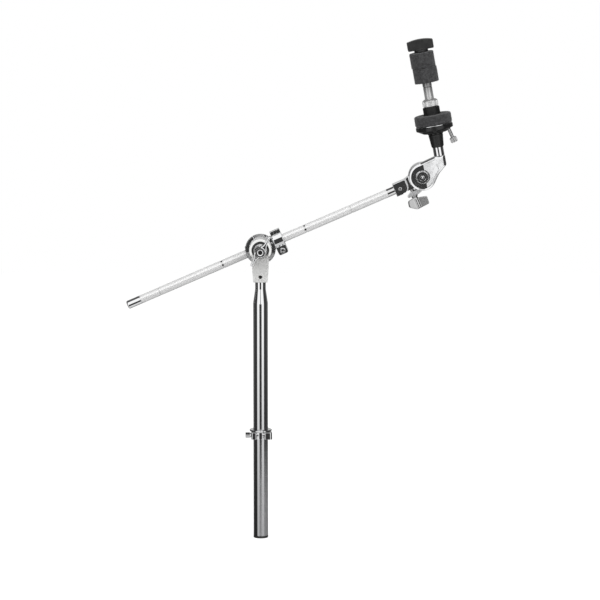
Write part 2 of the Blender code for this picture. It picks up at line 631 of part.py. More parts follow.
def build_boom_wing_nut(boom):
    pivot = (0, 0, 0)
    turned("wing_nut_washer",
           [(EYE_BOLT_RADIUS + SEAT_GAP, -WASHER_FRONT), (WASHER_RADIUS - 2.4 * MM, -WASHER_FRONT),
            (WASHER_RADIUS, -WASHER_FRONT - 1.6 * MM), (WASHER_RADIUS, -WASHER_BACK),
            (EYE_BOLT_RADIUS + SEAT_GAP, -WASHER_BACK)],
           None, (0, 0, PIVOT_HEIGHT), FRONT, SATIN, ROUND, True)
    bore = EYE_THREAD_RADIUS + SEAT_GAP
    front = -WING_FRONT
    hub = turned("boom_wing_nut",
                 [(bore + 1.6 * MM, front), (WING_HUB_RADIUS - 0.6 * MM, front),
                  (WING_HUB_RADIUS, front - 0.8 * MM), (WING_HUB_RADIUS, -WING_BACK + 9 * MM),
                  (WING_BASE_RADIUS, -WING_BACK + 4 * MM), (WING_BASE_RADIUS, -WING_BACK),
                  (bore, -WING_BACK), (bore, front - 2.2 * MM)],
                 boom, pivot, (90, -wing_turn(), 0), CHROME, ROUND, True)
    low = -WING_BACK + 6.5 * MM
    wings = plate("wing_blades", wing_outline(), low, low + WING_DEPTH, boom, pivot,
                  (90, -wing_turn(), 0))
    soften(wings, 1.0 * MM)
    clear = rod("wing_clear_bore", bore + 1.2 * MM, low - 2 * MM, front - 3 * MM, boom,
                location=pivot, rotation=FRONT, steps=COARSE)
    cut(wings, clear)
    join(hub, wings)


def wing_turn():
    """The wing nut's resting turn about its own axis, in the boom's frame."""
    return 59.0 - BOOM_ANGLE


def wing_outline():
    """An S of two blades: each leaves the hub at a tangent and narrows to a rounded tip."""
    hub = WING_HUB_RADIUS
    tip = 1.6 * MM
    end = WING_REACH - tip
    blade = [(0, -hub), (0.39 * WING_REACH, -0.7 * hub), (0.64 * WING_REACH, -0.38 * hub)]
    blade += arc(end, -0.7 * MM, tip, -90, 90, 6)
    blade += [(0.64 * WING_REACH, 0.12 * hub), (0.36 * WING_REACH, 0.3 * hub),
              (0.22 * WING_REACH, 0.62 * hub)]
    return blade + [(-x, -y) for x, y in blade]


# ---- boom rod: a tube with a plug in its free end --------------------------------------------------
def build_boom_rod(boom):
    bore = ROD_RADIUS - ROD_WALL
    start = -ROD_TAIL + ROD_TIP + SEAT_GAP
    low = ROD_RADIUS - ROD_GROOVE_DEPTH
    half = ROD_GROOVE / 2
    outside = [(ROD_RADIUS, ROD_HEAD)]
    for middle in reversed(ROD_GROOVES):
        outside += [(ROD_RADIUS, middle + half), (low, middle + half * 0.5),
                    (low, middle - half * 0.5), (ROD_RADIUS, middle - half)]
    outside += [(ROD_RADIUS, start)]
    turned("boom_rod", outside + [(bore, start), (bore, ROD_HEAD)], boom, (0, ROD_Y, 0), ALONG,
           SATIN, ROUND, True)
    end = -ROD_TAIL
    face = start - SEAT_GAP
    spigot = bore - SEAT_GAP
    turned("boom_rod_tip",
           [(0, face + ROD_SPIGOT), (spigot, face + ROD_SPIGOT), (spigot, face), (ROD_RADIUS, face)]
           + rounded_foot(ROD_RADIUS, end, ROD_TIP_ROUND) + [(0, end)],
           boom, (0, ROD_Y, 0), ALONG, CHROME, ROUND)


def rounded_foot(radius, height, fillet, count=4):
    """The lower outer corner of a turned piece, from its side to its end face."""
    turns = [math.radians(90 * i / count) for i in range(count + 1)]
    return [(radius - fillet + fillet * math.cos(t), height + fillet - fillet * math.sin(t)) for t in turns]


def rounded_head(radius, height, fillet, count=4):
    """The upper outer corner of a turned piece, from its end face to its side."""
    turns = [math.radians(90 - 90 * i / count) for i in range(count + 1)]
    return [(radius - fillet + fillet * math.cos(t), height - fillet + fillet * math.sin(t)) for t in turns]


# ---- boom lock: two half shells hinged above the rod, with a key bolt below it ----------------------
def build_boom_lock(boom):
    centre = (BLOCK_MIDDLE, ROD_Y, 0)
    half = BLOCK_LENGTH / 2
    third = BLOCK_LENGTH / 6
    split = BLOCK_SPLIT / 2
    lug_end = -BLOCK_KEY_DROP - BLOCK_LUG_END
    lug = [(-half, -BLOCK_RADIUS + 3 * MM), (-half, lug_end + 3 * MM), (-half + 3 * MM, lug_end),
           (half - 3 * MM, lug_end), (half, lug_end + 3 * MM), (half, -BLOCK_RADIUS + 3 * MM)]
    rod_bore = rod("block_bore", ROD_RADIUS + SEAT_GAP, -half - MM, half + MM, boom,
                   location=centre, rotation=ALONG, steps=ROUND)
    pin_bore = rod("knuckle_bore", KNUCKLE_PIN_RADIUS + SEAT_GAP, -half - MM, half + MM, boom,
                   location=(BLOCK_MIDDLE, ROD_Y, KNUCKLE_RISE), rotation=ALONG, steps=COARSE)
    key_bore = rod("block_key_bore", BLOCK_KEY_RADIUS + SEAT_GAP, -20 * MM, 20 * MM, boom,
                   location=(BLOCK_MIDDLE, ROD_Y, -BLOCK_KEY_DROP), rotation=FRONT, steps=COARSE)
    wide = 2 * KNUCKLE_RISE
    trim = SEAT_GAP / 2
    sides = {"front": (-1, [(-third, third)]), "back": (1, [(-half, -third), (third, half)])}
    for name, (sign, spans) in sides.items():
        shell = rod(f"boom_lock_{name}", BLOCK_RADIUS, -half, half, boom, 0.8 * MM,
                    location=centre, rotation=ALONG, look=CHROME, steps=ROUND)
        near = split
        far = split + BLOCK_LUG_THICK
        ear = plate(f"lock_ear_{name}", lug, min(-sign * near, -sign * far), max(-sign * near, -sign * far),
                    boom, centre, FRONT)
        soften(ear, 0.8 * MM)
        other = box(f"lock_other_half_{name}", (-half - MM, min(-sign * wide, sign * split), -wide),
                    (half + MM, max(-sign * wide, sign * split), wide), boom, centre)
        join(shell, ear)
        cut(shell, other)
        for index, (low, high) in enumerate(spans):
            knuckle = rod(f"knuckle_{name}_{index}", KNUCKLE_RADIUS, low + trim, high - trim, boom,
                          location=(BLOCK_MIDDLE, ROD_Y, KNUCKLE_RISE), rotation=ALONG, steps=COARSE)
            leaf_sides = sorted((sign * split, sign * KNUCKLE_RADIUS * 0.8))
            leaf = box(f"knuckle_leaf_{name}_{index}", (low + trim, leaf_sides[0], BLOCK_RADIUS - 3 * MM),
                       (high - trim, leaf_sides[1], KNUCKLE_RISE), boom, centre)
            join(leaf, knuckle)
            join(shell, leaf)
        for index, (low, high) in enumerate(sides["back" if name == "front" else "front"][1]):
            gap = box(f"knuckle_gap_{name}_{index}",
                      (low - trim, -wide, KNUCKLE_RISE - KNUCKLE_RADIUS - SEAT_GAP),
                      (high + trim, wide, KNUCKLE_RISE + wide), boom, centre)
            cut(shell, gap, solver="MANIFOLD")
        cut(shell, rod_bore, pin_bore, key_bore, solver="MANIFOLD")
    rod("boom_lock_pin", KNUCKLE_PIN_RADIUS, -half, half, boom, 0.3 * MM,
        location=(BLOCK_MIDDLE, ROD_Y, KNUCKLE_RISE), rotation=ALONG, look=STEEL, steps=COARSE)
    face = split + BLOCK_LUG_THICK
    head_low = face + SEAT_GAP
    head_high = head_low + BLOCK_KEY_HEIGHT
    key = turned("boom_lock_key_bolt",
                 [(0, head_high), (BLOCK_KEY_HEAD - 0.6 * MM, head_high), (BLOCK_KEY_HEAD, head_high - 0.6 * MM),
                  (BLOCK_KEY_HEAD, head_low), (BLOCK_KEY_RADIUS, head_low),
                  (BLOCK_KEY_RADIUS, -face + 0.5 * MM), (0, -face + 0.5 * MM)],
                 boom, (BLOCK_MIDDLE, ROD_Y, -BLOCK_KEY_DROP), FRONT, CHROME, COARSE)
    socket = rod("key_socket", BLOCK_KEY_RADIUS - 0.4 * MM, head_high - 2.4 * MM, head_high + MM, boom,
                 location=(BLOCK_MIDDLE, ROD_Y, -BLOCK_KEY_DROP), rotation=FRONT, steps=6)
    cut(key, socket)


# ---- tilter housing: rod socket, neck and split ring with an ear below -------------------------------
def build_tilter_housing(boom):
    cut_corner = arc(SOCKET_END - 10 * MM, 0.5 * MM, 10 * MM, -75, -10, 8)
    socket = [(SOCKET_START, SOCKET_HALF), (SOCKET_START, -SOCKET_HALF)] + cut_corner
    socket += [(SOCKET_END, SOCKET_HALF)]
    housing = plate("tilter_housing", socket, -ROD_Y - SOCKET_HALF, -ROD_Y + SOCKET_HALF, boom,
                    rotation=FRONT, look=CHROME)
    soften(housing, 0.9 * MM)
    neck_low = -RING_SLOT_DROP
    inset = 0.5 * MM
    neck = plate("tilter_neck",
                 [(SOCKET_END - 6 * MM, SOCKET_HALF - 1.5 * MM), (SOCKET_END - 3 * MM, neck_low),
                  (TILTER_REACH - RING_BORE, neck_low), (TILTER_REACH - RING_BORE, TILTER_RISE + 8 * MM),
                  (TILTER_REACH - RING_RADIUS + 4 * MM, SOCKET_HALF + 2.5 * MM)],
                 -RING_BACK + inset, -RING_FRONT - inset, boom, rotation=FRONT)
    ear_top = neck_low
    ear = plate("tilter_ear",
                [(EAR_START, -EAR_DROP + 2 * MM), (EAR_START + 2.2 * MM, -EAR_DROP), (EAR_END, -EAR_DROP),
                 (TILTER_REACH - 7 * MM, TILTER_RISE - RING_RADIUS + 1.5 * MM),
                 (TILTER_REACH - RING_BORE + 2 * MM, ear_top), (EAR_START + 12 * MM, ear_top)],
                -RING_BACK + inset, -RING_FRONT - inset, boom, rotation=FRONT)
    centre = (TILTER_REACH, 0, TILTER_RISE)
    ring = rod("tilter_ring", RING_RADIUS, -RING_BACK, -RING_FRONT, boom, 0.9 * MM,
               location=centre, rotation=FRONT, steps=FINE)
    bore = rod("tilter_bore", RING_BORE, -RING_BACK - MM, -RING_FRONT + MM, boom,
               location=centre, rotation=FRONT, steps=FINE)
    slot = box("tilter_slot",
               (EAR_START - 3 * MM, RING_FRONT - MM, -RING_SLOT_DROP - RING_SLOT / 2),
               (TILTER_REACH - RING_BORE / 2, RING_BACK + MM, -RING_SLOT_DROP + RING_SLOT / 2), boom)
    rod_bore = rod("socket_bore", LINER_BORE, SOCKET_START - MM, ROD_HEAD + SEAT_GAP, boom,
                   location=(0, ROD_Y, 0), rotation=ALONG, steps=ROUND)
    screw_at = (SOCKET_START + SOCKET_LENGTH * 0.42, 0, -0.6 * MM)
    face = -ROD_Y + SOCKET_HALF
    bolt_hole = rod("tilter_bolt_hole", TILT_BOLT_RADIUS + SEAT_GAP, -EAR_DROP - MM,
                    -RING_SLOT_DROP + TILT_BOLT_ENTRY + SEAT_GAP, boom,
                    location=(TILT_BOLT_AT, RING_MIDDLE, 0), steps=COARSE)
    screw_hole = rod("socket_screw_hole", SOCKET_SCREW_RADIUS + SEAT_GAP, face - SOCKET_WALL - MM,
                     face + MM, boom, location=screw_at, rotation=FRONT, steps=COARSE)
    join(housing, neck, ring, ear, solver="MANIFOLD")
    cut(housing, bore, slot, rod_bore, bolt_hole, screw_hole, solver="MANIFOLD")
    screw_low = -ROD_Y + ROD_RADIUS + SEAT_GAP
    rod("socket_screw", SOCKET_SCREW_RADIUS, screw_low, face + 0.5 * MM, boom, 0.4 * MM,
        location=screw_at, rotation=FRONT, look=CHROME, steps=COARSE)

    seat = -EAR_DROP - SEAT_GAP
    hub_low = seat - TILT_HUB_NECK - TILT_WING_HEIGHT
    bolt = turned("tilter_wing_bolt",
                  [(0, -RING_SLOT_DROP + TILT_BOLT_ENTRY), (TILT_BOLT_RADIUS, -RING_SLOT_DROP + TILT_BOLT_ENTRY),
                   (TILT_BOLT_RADIUS, seat), (TILT_HUB_RADIUS, seat), (TILT_HUB_RADIUS, seat - 1.4 * MM),
                   (TILT_HUB_RADIUS - 1.2 * MM, seat - TILT_HUB_NECK), (TILT_HUB_RADIUS, seat - TILT_HUB_NECK - 2 * MM),
                   (TILT_HUB_RADIUS, hub_low + 1.0 * MM), (TILT_HUB_RADIUS - 1.0 * MM, hub_low), (0, hub_low)],
                  boom, (TILT_BOLT_AT, RING_MIDDLE, 0), look=CHROME, steps=COARSE)
    top = seat - TILT_HUB_NECK - 0.6 * MM
    reach = TILT_WING_HALF
    wings = plate("tilter_wings",
                  [(-reach + 3 * MM, top), (-reach, top - 2.5 * MM), (-reach, top - 7.5 * MM),
                   (-4 * MM, hub_low + 0.5 * MM), (4 * MM, hub_low + 0.5 * MM), (reach, top - 7.5 * MM),
                   (reach, top - 2.5 * MM), (reach - 3 * MM, top)],
                  -TILT_WING_THICK / 2, TILT_WING_THICK / 2, boom, (TILT_BOLT_AT, RING_MIDDLE, 0),
                  (90, 0, 12))
    soften(wings, 1.0 * MM)
    join(bolt, wings)


# ---- tilter arm: teardrop with a dished face, drum, centre bolt --------------------------------------
def build_tilter_arm(tilter):
    left = STACK_OFFSET - STEM_RADIUS - SEAT_GAP
    right = STACK_OFFSET + STEM_RADIUS + SEAT_GAP
    outline = arc(0, 0, ARM_RADIUS, 107, 350, 30)
    outline += [(right, ARM_HEEL), (right, ARM_FACE), (left, ARM_FACE)]
    arm = plate("tilter_arm", outline, -ARM_BACK, -ARM_FRONT, tilter, rotation=FRONT, look=CHROME)
    soften(arm, ARM_EDGE)
    lean = -STACK_LEAN
    face = -ARM_FRONT
    floor = face - ARM_DISH_DEPTH
    dish = rod("arm_dish", ARM_DISH_RADIUS, floor, face + MM, tilter, rotation=FRONT, steps=FINE)
    land = box("dish_side", (ARM_DISH_SIDE, -face - 2 * MM, -ARM_RADIUS),
               (ARM_RADIUS, -floor + MM, ARM_RADIUS), tilter, rotation=(0, lean * -1, 0))
    around = rod("boss_moat", BOSS_RADIUS + 1.2 * MM, floor, face + MM, tilter, rotation=FRONT)
    cut(dish, land)
    join(dish, around)
    boss = rod("arm_boss", BOSS_RADIUS, floor - MM, face - 0.8 * MM, tilter, 0.6 * MM, rotation=FRONT)
    bolt_hole = rod("arm_bolt_hole", CENTRE_BOLT_RADIUS + SEAT_GAP, -ARM_BACK - MM, face + MM, tilter,
                    rotation=FRONT, steps=COARSE)
    spigot_hole = rod("arm_spigot_hole", STEM_SPIGOT_RADIUS + SEAT_GAP, ARM_FACE - STEM_SPIGOT - SEAT_GAP,
                      ARM_FACE + MM, tilter, location=(STACK_OFFSET, STACK_Y, 0), steps=COARSE)
    cut(arm, dish, solver="MANIFOLD")
    join(arm, boss, solver="MANIFOLD")
    cut(arm, bolt_hole, spigot_hole, solver="MANIFOLD")
    drum_front = -ARM_BACK - SEAT_GAP
    tube("tilter_drum", DRUM_RADIUS, CENTRE_BOLT_RADIUS + SEAT_GAP, -RING_BACK - SEAT_GAP, drum_front,
         tilter, rotation=FRONT, look=STEEL, steps=FINE)
    cover_front = -RING_BACK - 2 * SEAT_GAP
    tube("tilter_back_cover", DRUM_FLANGE_RADIUS, CENTRE_BOLT_RADIUS + SEAT_GAP, cover_front - DRUM_FLANGE,
         cover_front, tilter, 0.7 * MM, rotation=FRONT, look=CHROME, steps=ROUND)
    head_low = face - 0.8 * MM + SEAT_GAP
    head_high = head_low + CENTRE_HEAD
    tail = cover_front - DRUM_FLANGE - SEAT_GAP
    turned("tilter_centre_bolt",
           [(0, head_high - CENTRE_SINK), (CENTRE_SINK_RADIUS, head_high - CENTRE_SINK),
            (CENTRE_SINK_RADIUS, head_high)]
           + rounded_head(CENTRE_HEAD_RADIUS, head_high, 0.9 * MM, 3)
           + [(CENTRE_HEAD_RADIUS, head_low), (CENTRE_BOLT_RADIUS, head_low), (CENTRE_BOLT_RADIUS, tail),
              (CENTRE_BOLT_RADIUS + 3 * MM, tail), (CENTRE_BOLT_RADIUS + 3 * MM, tail - 1.0 * MM),
              (CENTRE_BOLT_RADIUS + 1.5 * MM, tail - 2.0 * MM), (0, tail - 2.0 * MM)],
           tilter, (0, 0, 0), FRONT, CHROME, ROUND)
    screw_base = head_high - CENTRE_SINK + SEAT_GAP
    rod("tilter_key_screw", CENTRE_SCREW_RADIUS, screw_base, head_high + 0.2 * MM, tilter, 0.5 * MM,
        rotation=FRONT, look=CHROME, steps=COARSE)


# ---- seat stack -----------------------------------------------------------------------------------------
def build_seat(stack):
    stem = [(0, STEM_TOP), (STEM_ROD_RADIUS - 0.7 * MM, STEM_TOP), (STEM_ROD_RADIUS, STEM_TOP - 0.7 * MM),
            (STEM_ROD_RADIUS, SLEEVE_END), (STEM_RADIUS, SLEEVE_END), (STEM_RADIUS, ARM_FACE + SEAT_GAP),
            (STEM_SPIGOT_RADIUS, ARM_FACE + SEAT_GAP), (STEM_SPIGOT_RADIUS, ARM_FACE - STEM_SPIGOT),
            (0, ARM_FACE - STEM_SPIGOT)]
    turned("seat_stem", stem, stack, look=CHROME, steps=ROUND)

    bore = STEM_RADIUS + SEAT_GAP
    step = SLEEVE_END - 3.5 * MM
    grow = (SLEEVE_TOP_RADIUS - SLEEVE_LOW_RADIUS) * (step - SLEEVE_START) / SLEEVE_LENGTH
    sleeve = turned("seat_sleeve",
                    [(bore, SLEEVE_END), (SLEEVE_TOP_RADIUS, SLEEVE_END), (SLEEVE_TOP_RADIUS, step),
                     (SLEEVE_LOW_RADIUS + grow - 0.5 * MM, step - 0.6 * MM),
                     (SLEEVE_LOW_RADIUS - 0.4 * MM, SLEEVE_START + 1.0 * MM),
                     (SLEEVE_LOW_RADIUS - 1.0 * MM, SLEEVE_START), (bore, SLEEVE_START)],
                    stack, look=DARK_PLASTIC, steps=ROUND, closed=True)
    for index in range(SLEEVE_RIBS):
        turn = 360 / SLEEVE_RIBS * index
        rib = plate(f"sleeve_rib_{index}",
                    [(bore + 0.4 * MM, SLEEVE_START + 1.2 * MM), (SLEEVE_LOW_RADIUS, SLEEVE_START + 1.2 * MM),
                     (SLEEVE_LOW_RADIUS + grow, step - 0.3 * MM), (bore + 0.4 * MM, step - 0.3 * MM)],
                    -SLEEVE_RIB / 2, SLEEVE_RIB / 2, stack, rotation=(90, 0, turn))
        join(sleeve, rib)

    well = CUP_RADIUS - CUP_RIM_WALL
    cup = turned("seat_cup",
                 [(STEM_BORE, CUP_FLOOR), (well, CUP_FLOOR), (well, CUP_TOP),
                  (CUP_RADIUS - 0.5 * MM, CUP_TOP), (CUP_RADIUS, CUP_TOP - 0.5 * MM),
                  (CUP_RADIUS, CUP_BAND + 0.8 * MM), (CUP_RADIUS - 0.8 * MM, CUP_BAND),
                  (CUP_HUB_RADIUS, CUP_HUB), (SLEEVE_TOP_RADIUS + 0.6 * MM, CUP_HUB),
                  (SLEEVE_TOP_RADIUS + 0.6 * MM, CUP_START), (STEM_BORE, CUP_START)],
                 stack, look=DARK_PLASTIC, steps=FINE, closed=True)
    slant = (SCREW_CONTACT, 0, PLATE_START - SEAT_GAP)
    turn = (0, -SCREW_SPLAY, 0)
    screw_hole = rod("seat_screw_hole", SCREW_RADIUS + SEAT_GAP, -SCREW_SHANK, 3 * MM, stack,
                     location=slant, rotation=turn, steps=COARSE)
    cut(cup, screw_hole)
    tube("seat_plate", PLATE_RADIUS, PLATE_BORE, PLATE_START, PLATE_TOP, stack, 0.3 * MM,
         look=CHROME, steps=FINE)
    felt = [(PLATE_BORE, FELT_TOP)] + rounded_head(FELT_RADIUS, FELT_TOP, FELT_EDGE)
    felt += [(FELT_RADIUS, FELT_START + 0.8 * MM), (FELT_RADIUS - 0.8 * MM, FELT_START), (PLATE_BORE, FELT_START)]
    turned("seat_felt", felt, stack, look=DARK_FELT, steps=FINE, closed=True)
    reach = SCREW_SHANK - SCREW_HEAD
    tip = -SCREW_RADIUS * math.sin(math.radians(SCREW_SPLAY))
    turned("seat_tilt_screw",
           [(0, tip), (SCREW_RADIUS - 0.6 * MM, tip), (SCREW_RADIUS, tip - 0.6 * MM), (SCREW_RADIUS, -SCREW_SHANK),
            (SCREW_HEAD_RADIUS - 0.7 * MM, -SCREW_SHANK), (SCREW_HEAD_RADIUS, -SCREW_SHANK - 0.7 * MM),
            (SCREW_HEAD_RADIUS, -SCREW_SHANK - SCREW_HEAD + 0.7 * MM),
            (SCREW_HEAD_RADIUS - 0.7 * MM, -SCREW_SHANK - SCREW_HEAD), (0, -SCREW_SHANK - SCREW_HEAD)],
           stack, slant, turn, CHROME, COARSE)


def build_clutch(stack):
    tube("cymbal_bushing", BUSHING_RADIUS, STEM_BORE, BUSHING_START, BUSHING_TOP, stack, 0.7 * MM,
         look=DARK_PLASTIC, steps=ROUND)
    nut_bore = TUBE_RADIUS + SEAT_GAP
    shoulder = NUT_RADIUS - NUT_CHAMFER * 1.4
    turned("clutch_nut",
           [(nut_bore, NUT_TOP), (shoulder, NUT_TOP), (NUT_RADIUS, NUT_TOP - NUT_CHAMFER),
            (NUT_RADIUS, NUT_START + NUT_CHAMFER * 0.6), (NUT_RADIUS - NUT_CHAMFER * 0.6, NUT_START),
            (nut_bore, NUT_START)],
           stack, look=CHROME, steps=ROUND, closed=True)
    barrel = tube("clutch_tube", TUBE_RADIUS, STEM_BORE, NUT_START, TUBE_TOP, stack, 0.4 * MM,
                  look=CHROME, steps=ROUND)
    for sign in (-1, 1):
        low = min(sign * TUBE_FLAT, sign * (TUBE_RADIUS + MM))
        high = max(sign * TUBE_FLAT, sign * (TUBE_RADIUS + MM))
        flat = box(f"tube_flat_{sign + 1}", (-TUBE_RADIUS, low, NUT_TOP), (TUBE_RADIUS, high, TUBE_TOP + MM), stack)
        cut(barrel, flat)
    turned("clutch_collar",
           [(STEM_BORE, HIGH_FELT_TOP), (COLLAR_TUBE_RADIUS, HIGH_FELT_TOP), (COLLAR_TUBE_RADIUS, COLLAR_TOP),
            (COLLAR_RADIUS, COLLAR_TOP), (COLLAR_RADIUS, COLLAR_START + 0.5 * MM),
            (COLLAR_RADIUS - 0.5 * MM, COLLAR_START), (STEM_BORE, COLLAR_START)],
           stack, look=CHROME, steps=ROUND, closed=True)
    felts = {"clutch_felt_lower": (LOW_FELT_START, 1), "clutch_felt_upper": (HIGH_FELT_START, -1)}
    hole = COLLAR_TUBE_RADIUS + CLUTCH_FELT_SHIFT + SEAT_GAP
    for name, (low, sign) in felts.items():
        high = low + CLUTCH_FELT_HEIGHT
        profile = [(hole, high)] + rounded_head(CLUTCH_FELT_RADIUS, high, CLUTCH_FELT_EDGE, 3)
        profile += rounded_foot(CLUTCH_FELT_RADIUS, low, CLUTCH_FELT_EDGE, 3) + [(hole, low)]
        turned(name, profile, stack, (sign * CLUTCH_FELT_SHIFT, 0, 0), look=DARK_FELT, steps=ROUND, closed=True)

    neck = turned("clutch_wing_nut",
                  [(0, KNOB_TOP - KNOB_CROWN), (KNOB_NECK_RADIUS, KNOB_TOP - KNOB_CROWN),
                   (KNOB_NECK_RADIUS, KNOB_START), (STEM_BORE, KNOB_START), (STEM_BORE, KNOB_TOP - KNOB_CEILING),
                   (0, KNOB_TOP - KNOB_CEILING)],
                  stack, look=DARK_PLASTIC, steps=ROUND)
    half = KNOB_HALF_WIDTH
    crown_radius = (half ** 2 + KNOB_CROWN ** 2) / (2 * KNOB_CROWN)
    spread = math.degrees(math.asin(half / crown_radius))
    outline = [(-half + 0.6 * MM, KNOB_WINGS), (half - 0.6 * MM, KNOB_WINGS)]
    outline += arc(0, KNOB_TOP - crown_radius, crown_radius, 90 - spread, 90 + spread, 10)
    wings = plate("knob_wings", outline, -KNOB_THICK / 2, KNOB_THICK / 2, stack, rotation=FRONT)
    soften(wings, 1.6 * MM)
    bore = rod("knob_bore", STEM_BORE, KNOB_START - MM, KNOB_TOP - KNOB_CEILING, stack, steps=ROUND)
    cut(wings, bore)
    join(neck, wings)


# ---- the whole boom arm -------------------------------------------------------------------------------
def shade_round():
    for item in PARTS.objects:
        if item.type == "MESH":
            item.data.shade_smooth()
            item.data.set_sharp_from_angle(angle=math.radians(35))


def main():
    build_post()
    build_memory_lock()
    build_bracket()
    boom = frame("boom_pivot", None, (0, 0, PIVOT_HEIGHT), -BOOM_ANGLE)
    build_boom_pivot(boom)
    build_boom_wing_nut(boom)
    build_boom_rod(boom)
    build_boom_lock(boom)
    build_tilter_housing(boom)
    tilter = frame("tilter_pivot", boom, (TILTER_REACH, 0, TILTER_RISE), BOOM_ANGLE - STACK_LEAN)
    build_tilter_arm(tilter)
    stack = frame("seat_stack", tilter, (STACK_OFFSET, STACK_Y, 0), 0)
    build_seat(stack)
    build_clutch(stack)
    shade_round()


main()
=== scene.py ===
# %% [markdown]
# # A cymbal boom arm, dressed
# A boom arm is a cymbal stand without legs: a chromed tube that drops into a base, a bracket with
# a brake disc on its neck, a rod that slides through the disc's clamp, and a tilter that carries
# the felts and the wing nut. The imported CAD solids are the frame. This file gives each of them
# the finish and the fine shape of the real piece.

# %% Load the frame
import json
import math

import bmesh
import bpy
import numpy as np
from mathutils import Matrix, Vector


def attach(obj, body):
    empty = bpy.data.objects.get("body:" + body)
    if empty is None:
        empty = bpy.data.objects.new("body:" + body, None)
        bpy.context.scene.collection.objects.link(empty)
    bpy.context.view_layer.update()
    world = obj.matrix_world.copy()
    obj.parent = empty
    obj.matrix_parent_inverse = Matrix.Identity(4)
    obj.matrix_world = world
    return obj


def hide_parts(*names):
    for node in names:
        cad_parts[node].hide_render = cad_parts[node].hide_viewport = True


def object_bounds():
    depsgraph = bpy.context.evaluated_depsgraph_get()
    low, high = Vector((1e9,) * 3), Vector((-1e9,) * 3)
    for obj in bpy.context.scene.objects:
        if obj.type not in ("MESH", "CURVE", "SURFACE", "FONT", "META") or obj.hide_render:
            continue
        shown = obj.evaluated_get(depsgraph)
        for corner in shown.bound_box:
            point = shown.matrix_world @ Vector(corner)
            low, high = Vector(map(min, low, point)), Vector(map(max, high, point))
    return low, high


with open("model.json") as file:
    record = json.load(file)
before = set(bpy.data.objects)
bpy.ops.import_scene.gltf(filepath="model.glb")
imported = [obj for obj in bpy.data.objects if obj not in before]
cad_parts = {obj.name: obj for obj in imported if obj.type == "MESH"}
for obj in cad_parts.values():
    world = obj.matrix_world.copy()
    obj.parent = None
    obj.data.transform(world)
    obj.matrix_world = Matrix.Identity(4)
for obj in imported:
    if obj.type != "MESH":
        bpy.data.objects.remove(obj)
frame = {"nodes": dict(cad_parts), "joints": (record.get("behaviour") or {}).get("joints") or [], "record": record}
CAD_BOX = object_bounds()
MM = 0.001
BODY_OF = {node: body for body, nodes in frame["record"]["behaviour"]["bodies"].items()
           for node in nodes}
JOINTS = {joint["name"]: joint for joint in frame["joints"]}

# %% [markdown]
# Four sets of axes make every size simple to say. The world's are for the post and bracket, the
# rod's run along the boom, the tilter's turn about the drum, and the stack's rise up the middle of
# the seat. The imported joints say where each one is, so nothing here is typed in twice.

# %% Axes of the post, the rod, the tilter and the seat stack
def axes(origin, along_x, up_z):
    """A matrix from local coordinates to the frame's, from an origin and two directions."""
    x, z = Vector(along_x).normalized(), Vector(up_z).normalized()
    y = z.cross(x)
    turn = Matrix((x, y, z)).transposed().to_4x4()
    return Matrix.Translation(Vector(origin)) @ turn


def spin(degrees, axis):
    """A turn about one of the three axes."""
    return Matrix.Rotation(math.radians(degrees), 4, axis)


def shift(x=0.0, y=0.0, z=0.0):
    """A move by millimetres."""
    return Matrix.Translation((x * MM, y * MM, z * MM))


WORLD = Matrix.Identity(4)
pivot = Vector(JOINTS["boom_tilt"]["pos_m"])
along = Vector(JOINTS["boom_rod_roll"]["axis"])
rod_point = Vector(JOINTS["boom_rod_roll"]["pos_m"])
BOOM = axes(pivot, along, along.cross(Vector((0, 1, 0))))
ROD_Y = rod_point.y
lean = Vector(JOINTS["clutch_nut_turn"]["axis"])
tilt_point = Vector(JOINTS["tilter_tilt"]["pos_m"])
on_stack = Vector(JOINTS["clutch_nut_turn"]["pos_m"])
TILTER = axes((tilt_point.x, 0, tilt_point.z), Vector((0, 1, 0)).cross(lean), lean)
STACK = axes(on_stack - lean * (on_stack - tilt_point).dot(lean), Vector((0, 1, 0)).cross(lean), lean)
FACING = spin(90, "X")     # local Z comes to the front
ENDWAYS = spin(90, "Y")    # local Z goes along X


def extent(node, place):
    """Lowest and highest corner of a CAD node, measured in the axes of a place."""
    mesh = frame["nodes"][node].data
    points = np.empty(len(mesh.vertices) * 3, np.float32)
    mesh.vertices.foreach_get("co", points)
    inverse = np.array(place.inverted())
    local = points.reshape(-1, 3) @ inverse[:3, :3].T + inverse[:3, 3]
    return Vector(local.min(0)), Vector(local.max(0))


def corners_of(node, place):
    """The same two corners, in millimetres."""
    return [corner / MM for corner in extent(node, place)]


def heights_of(node):
    """Lowest and highest point of a seat piece up the stack, in millimetres."""
    return [corner.z / MM for corner in extent(node, STACK)]


print("boom leans", round(math.degrees(math.asin(along.z)), 2), "degrees")

# %% [markdown]
# Shader maths reads best as plain expressions. A small class holds one socket and turns + - * /
# into Math nodes, and its tree adds any other node by type, with settings first and values second.

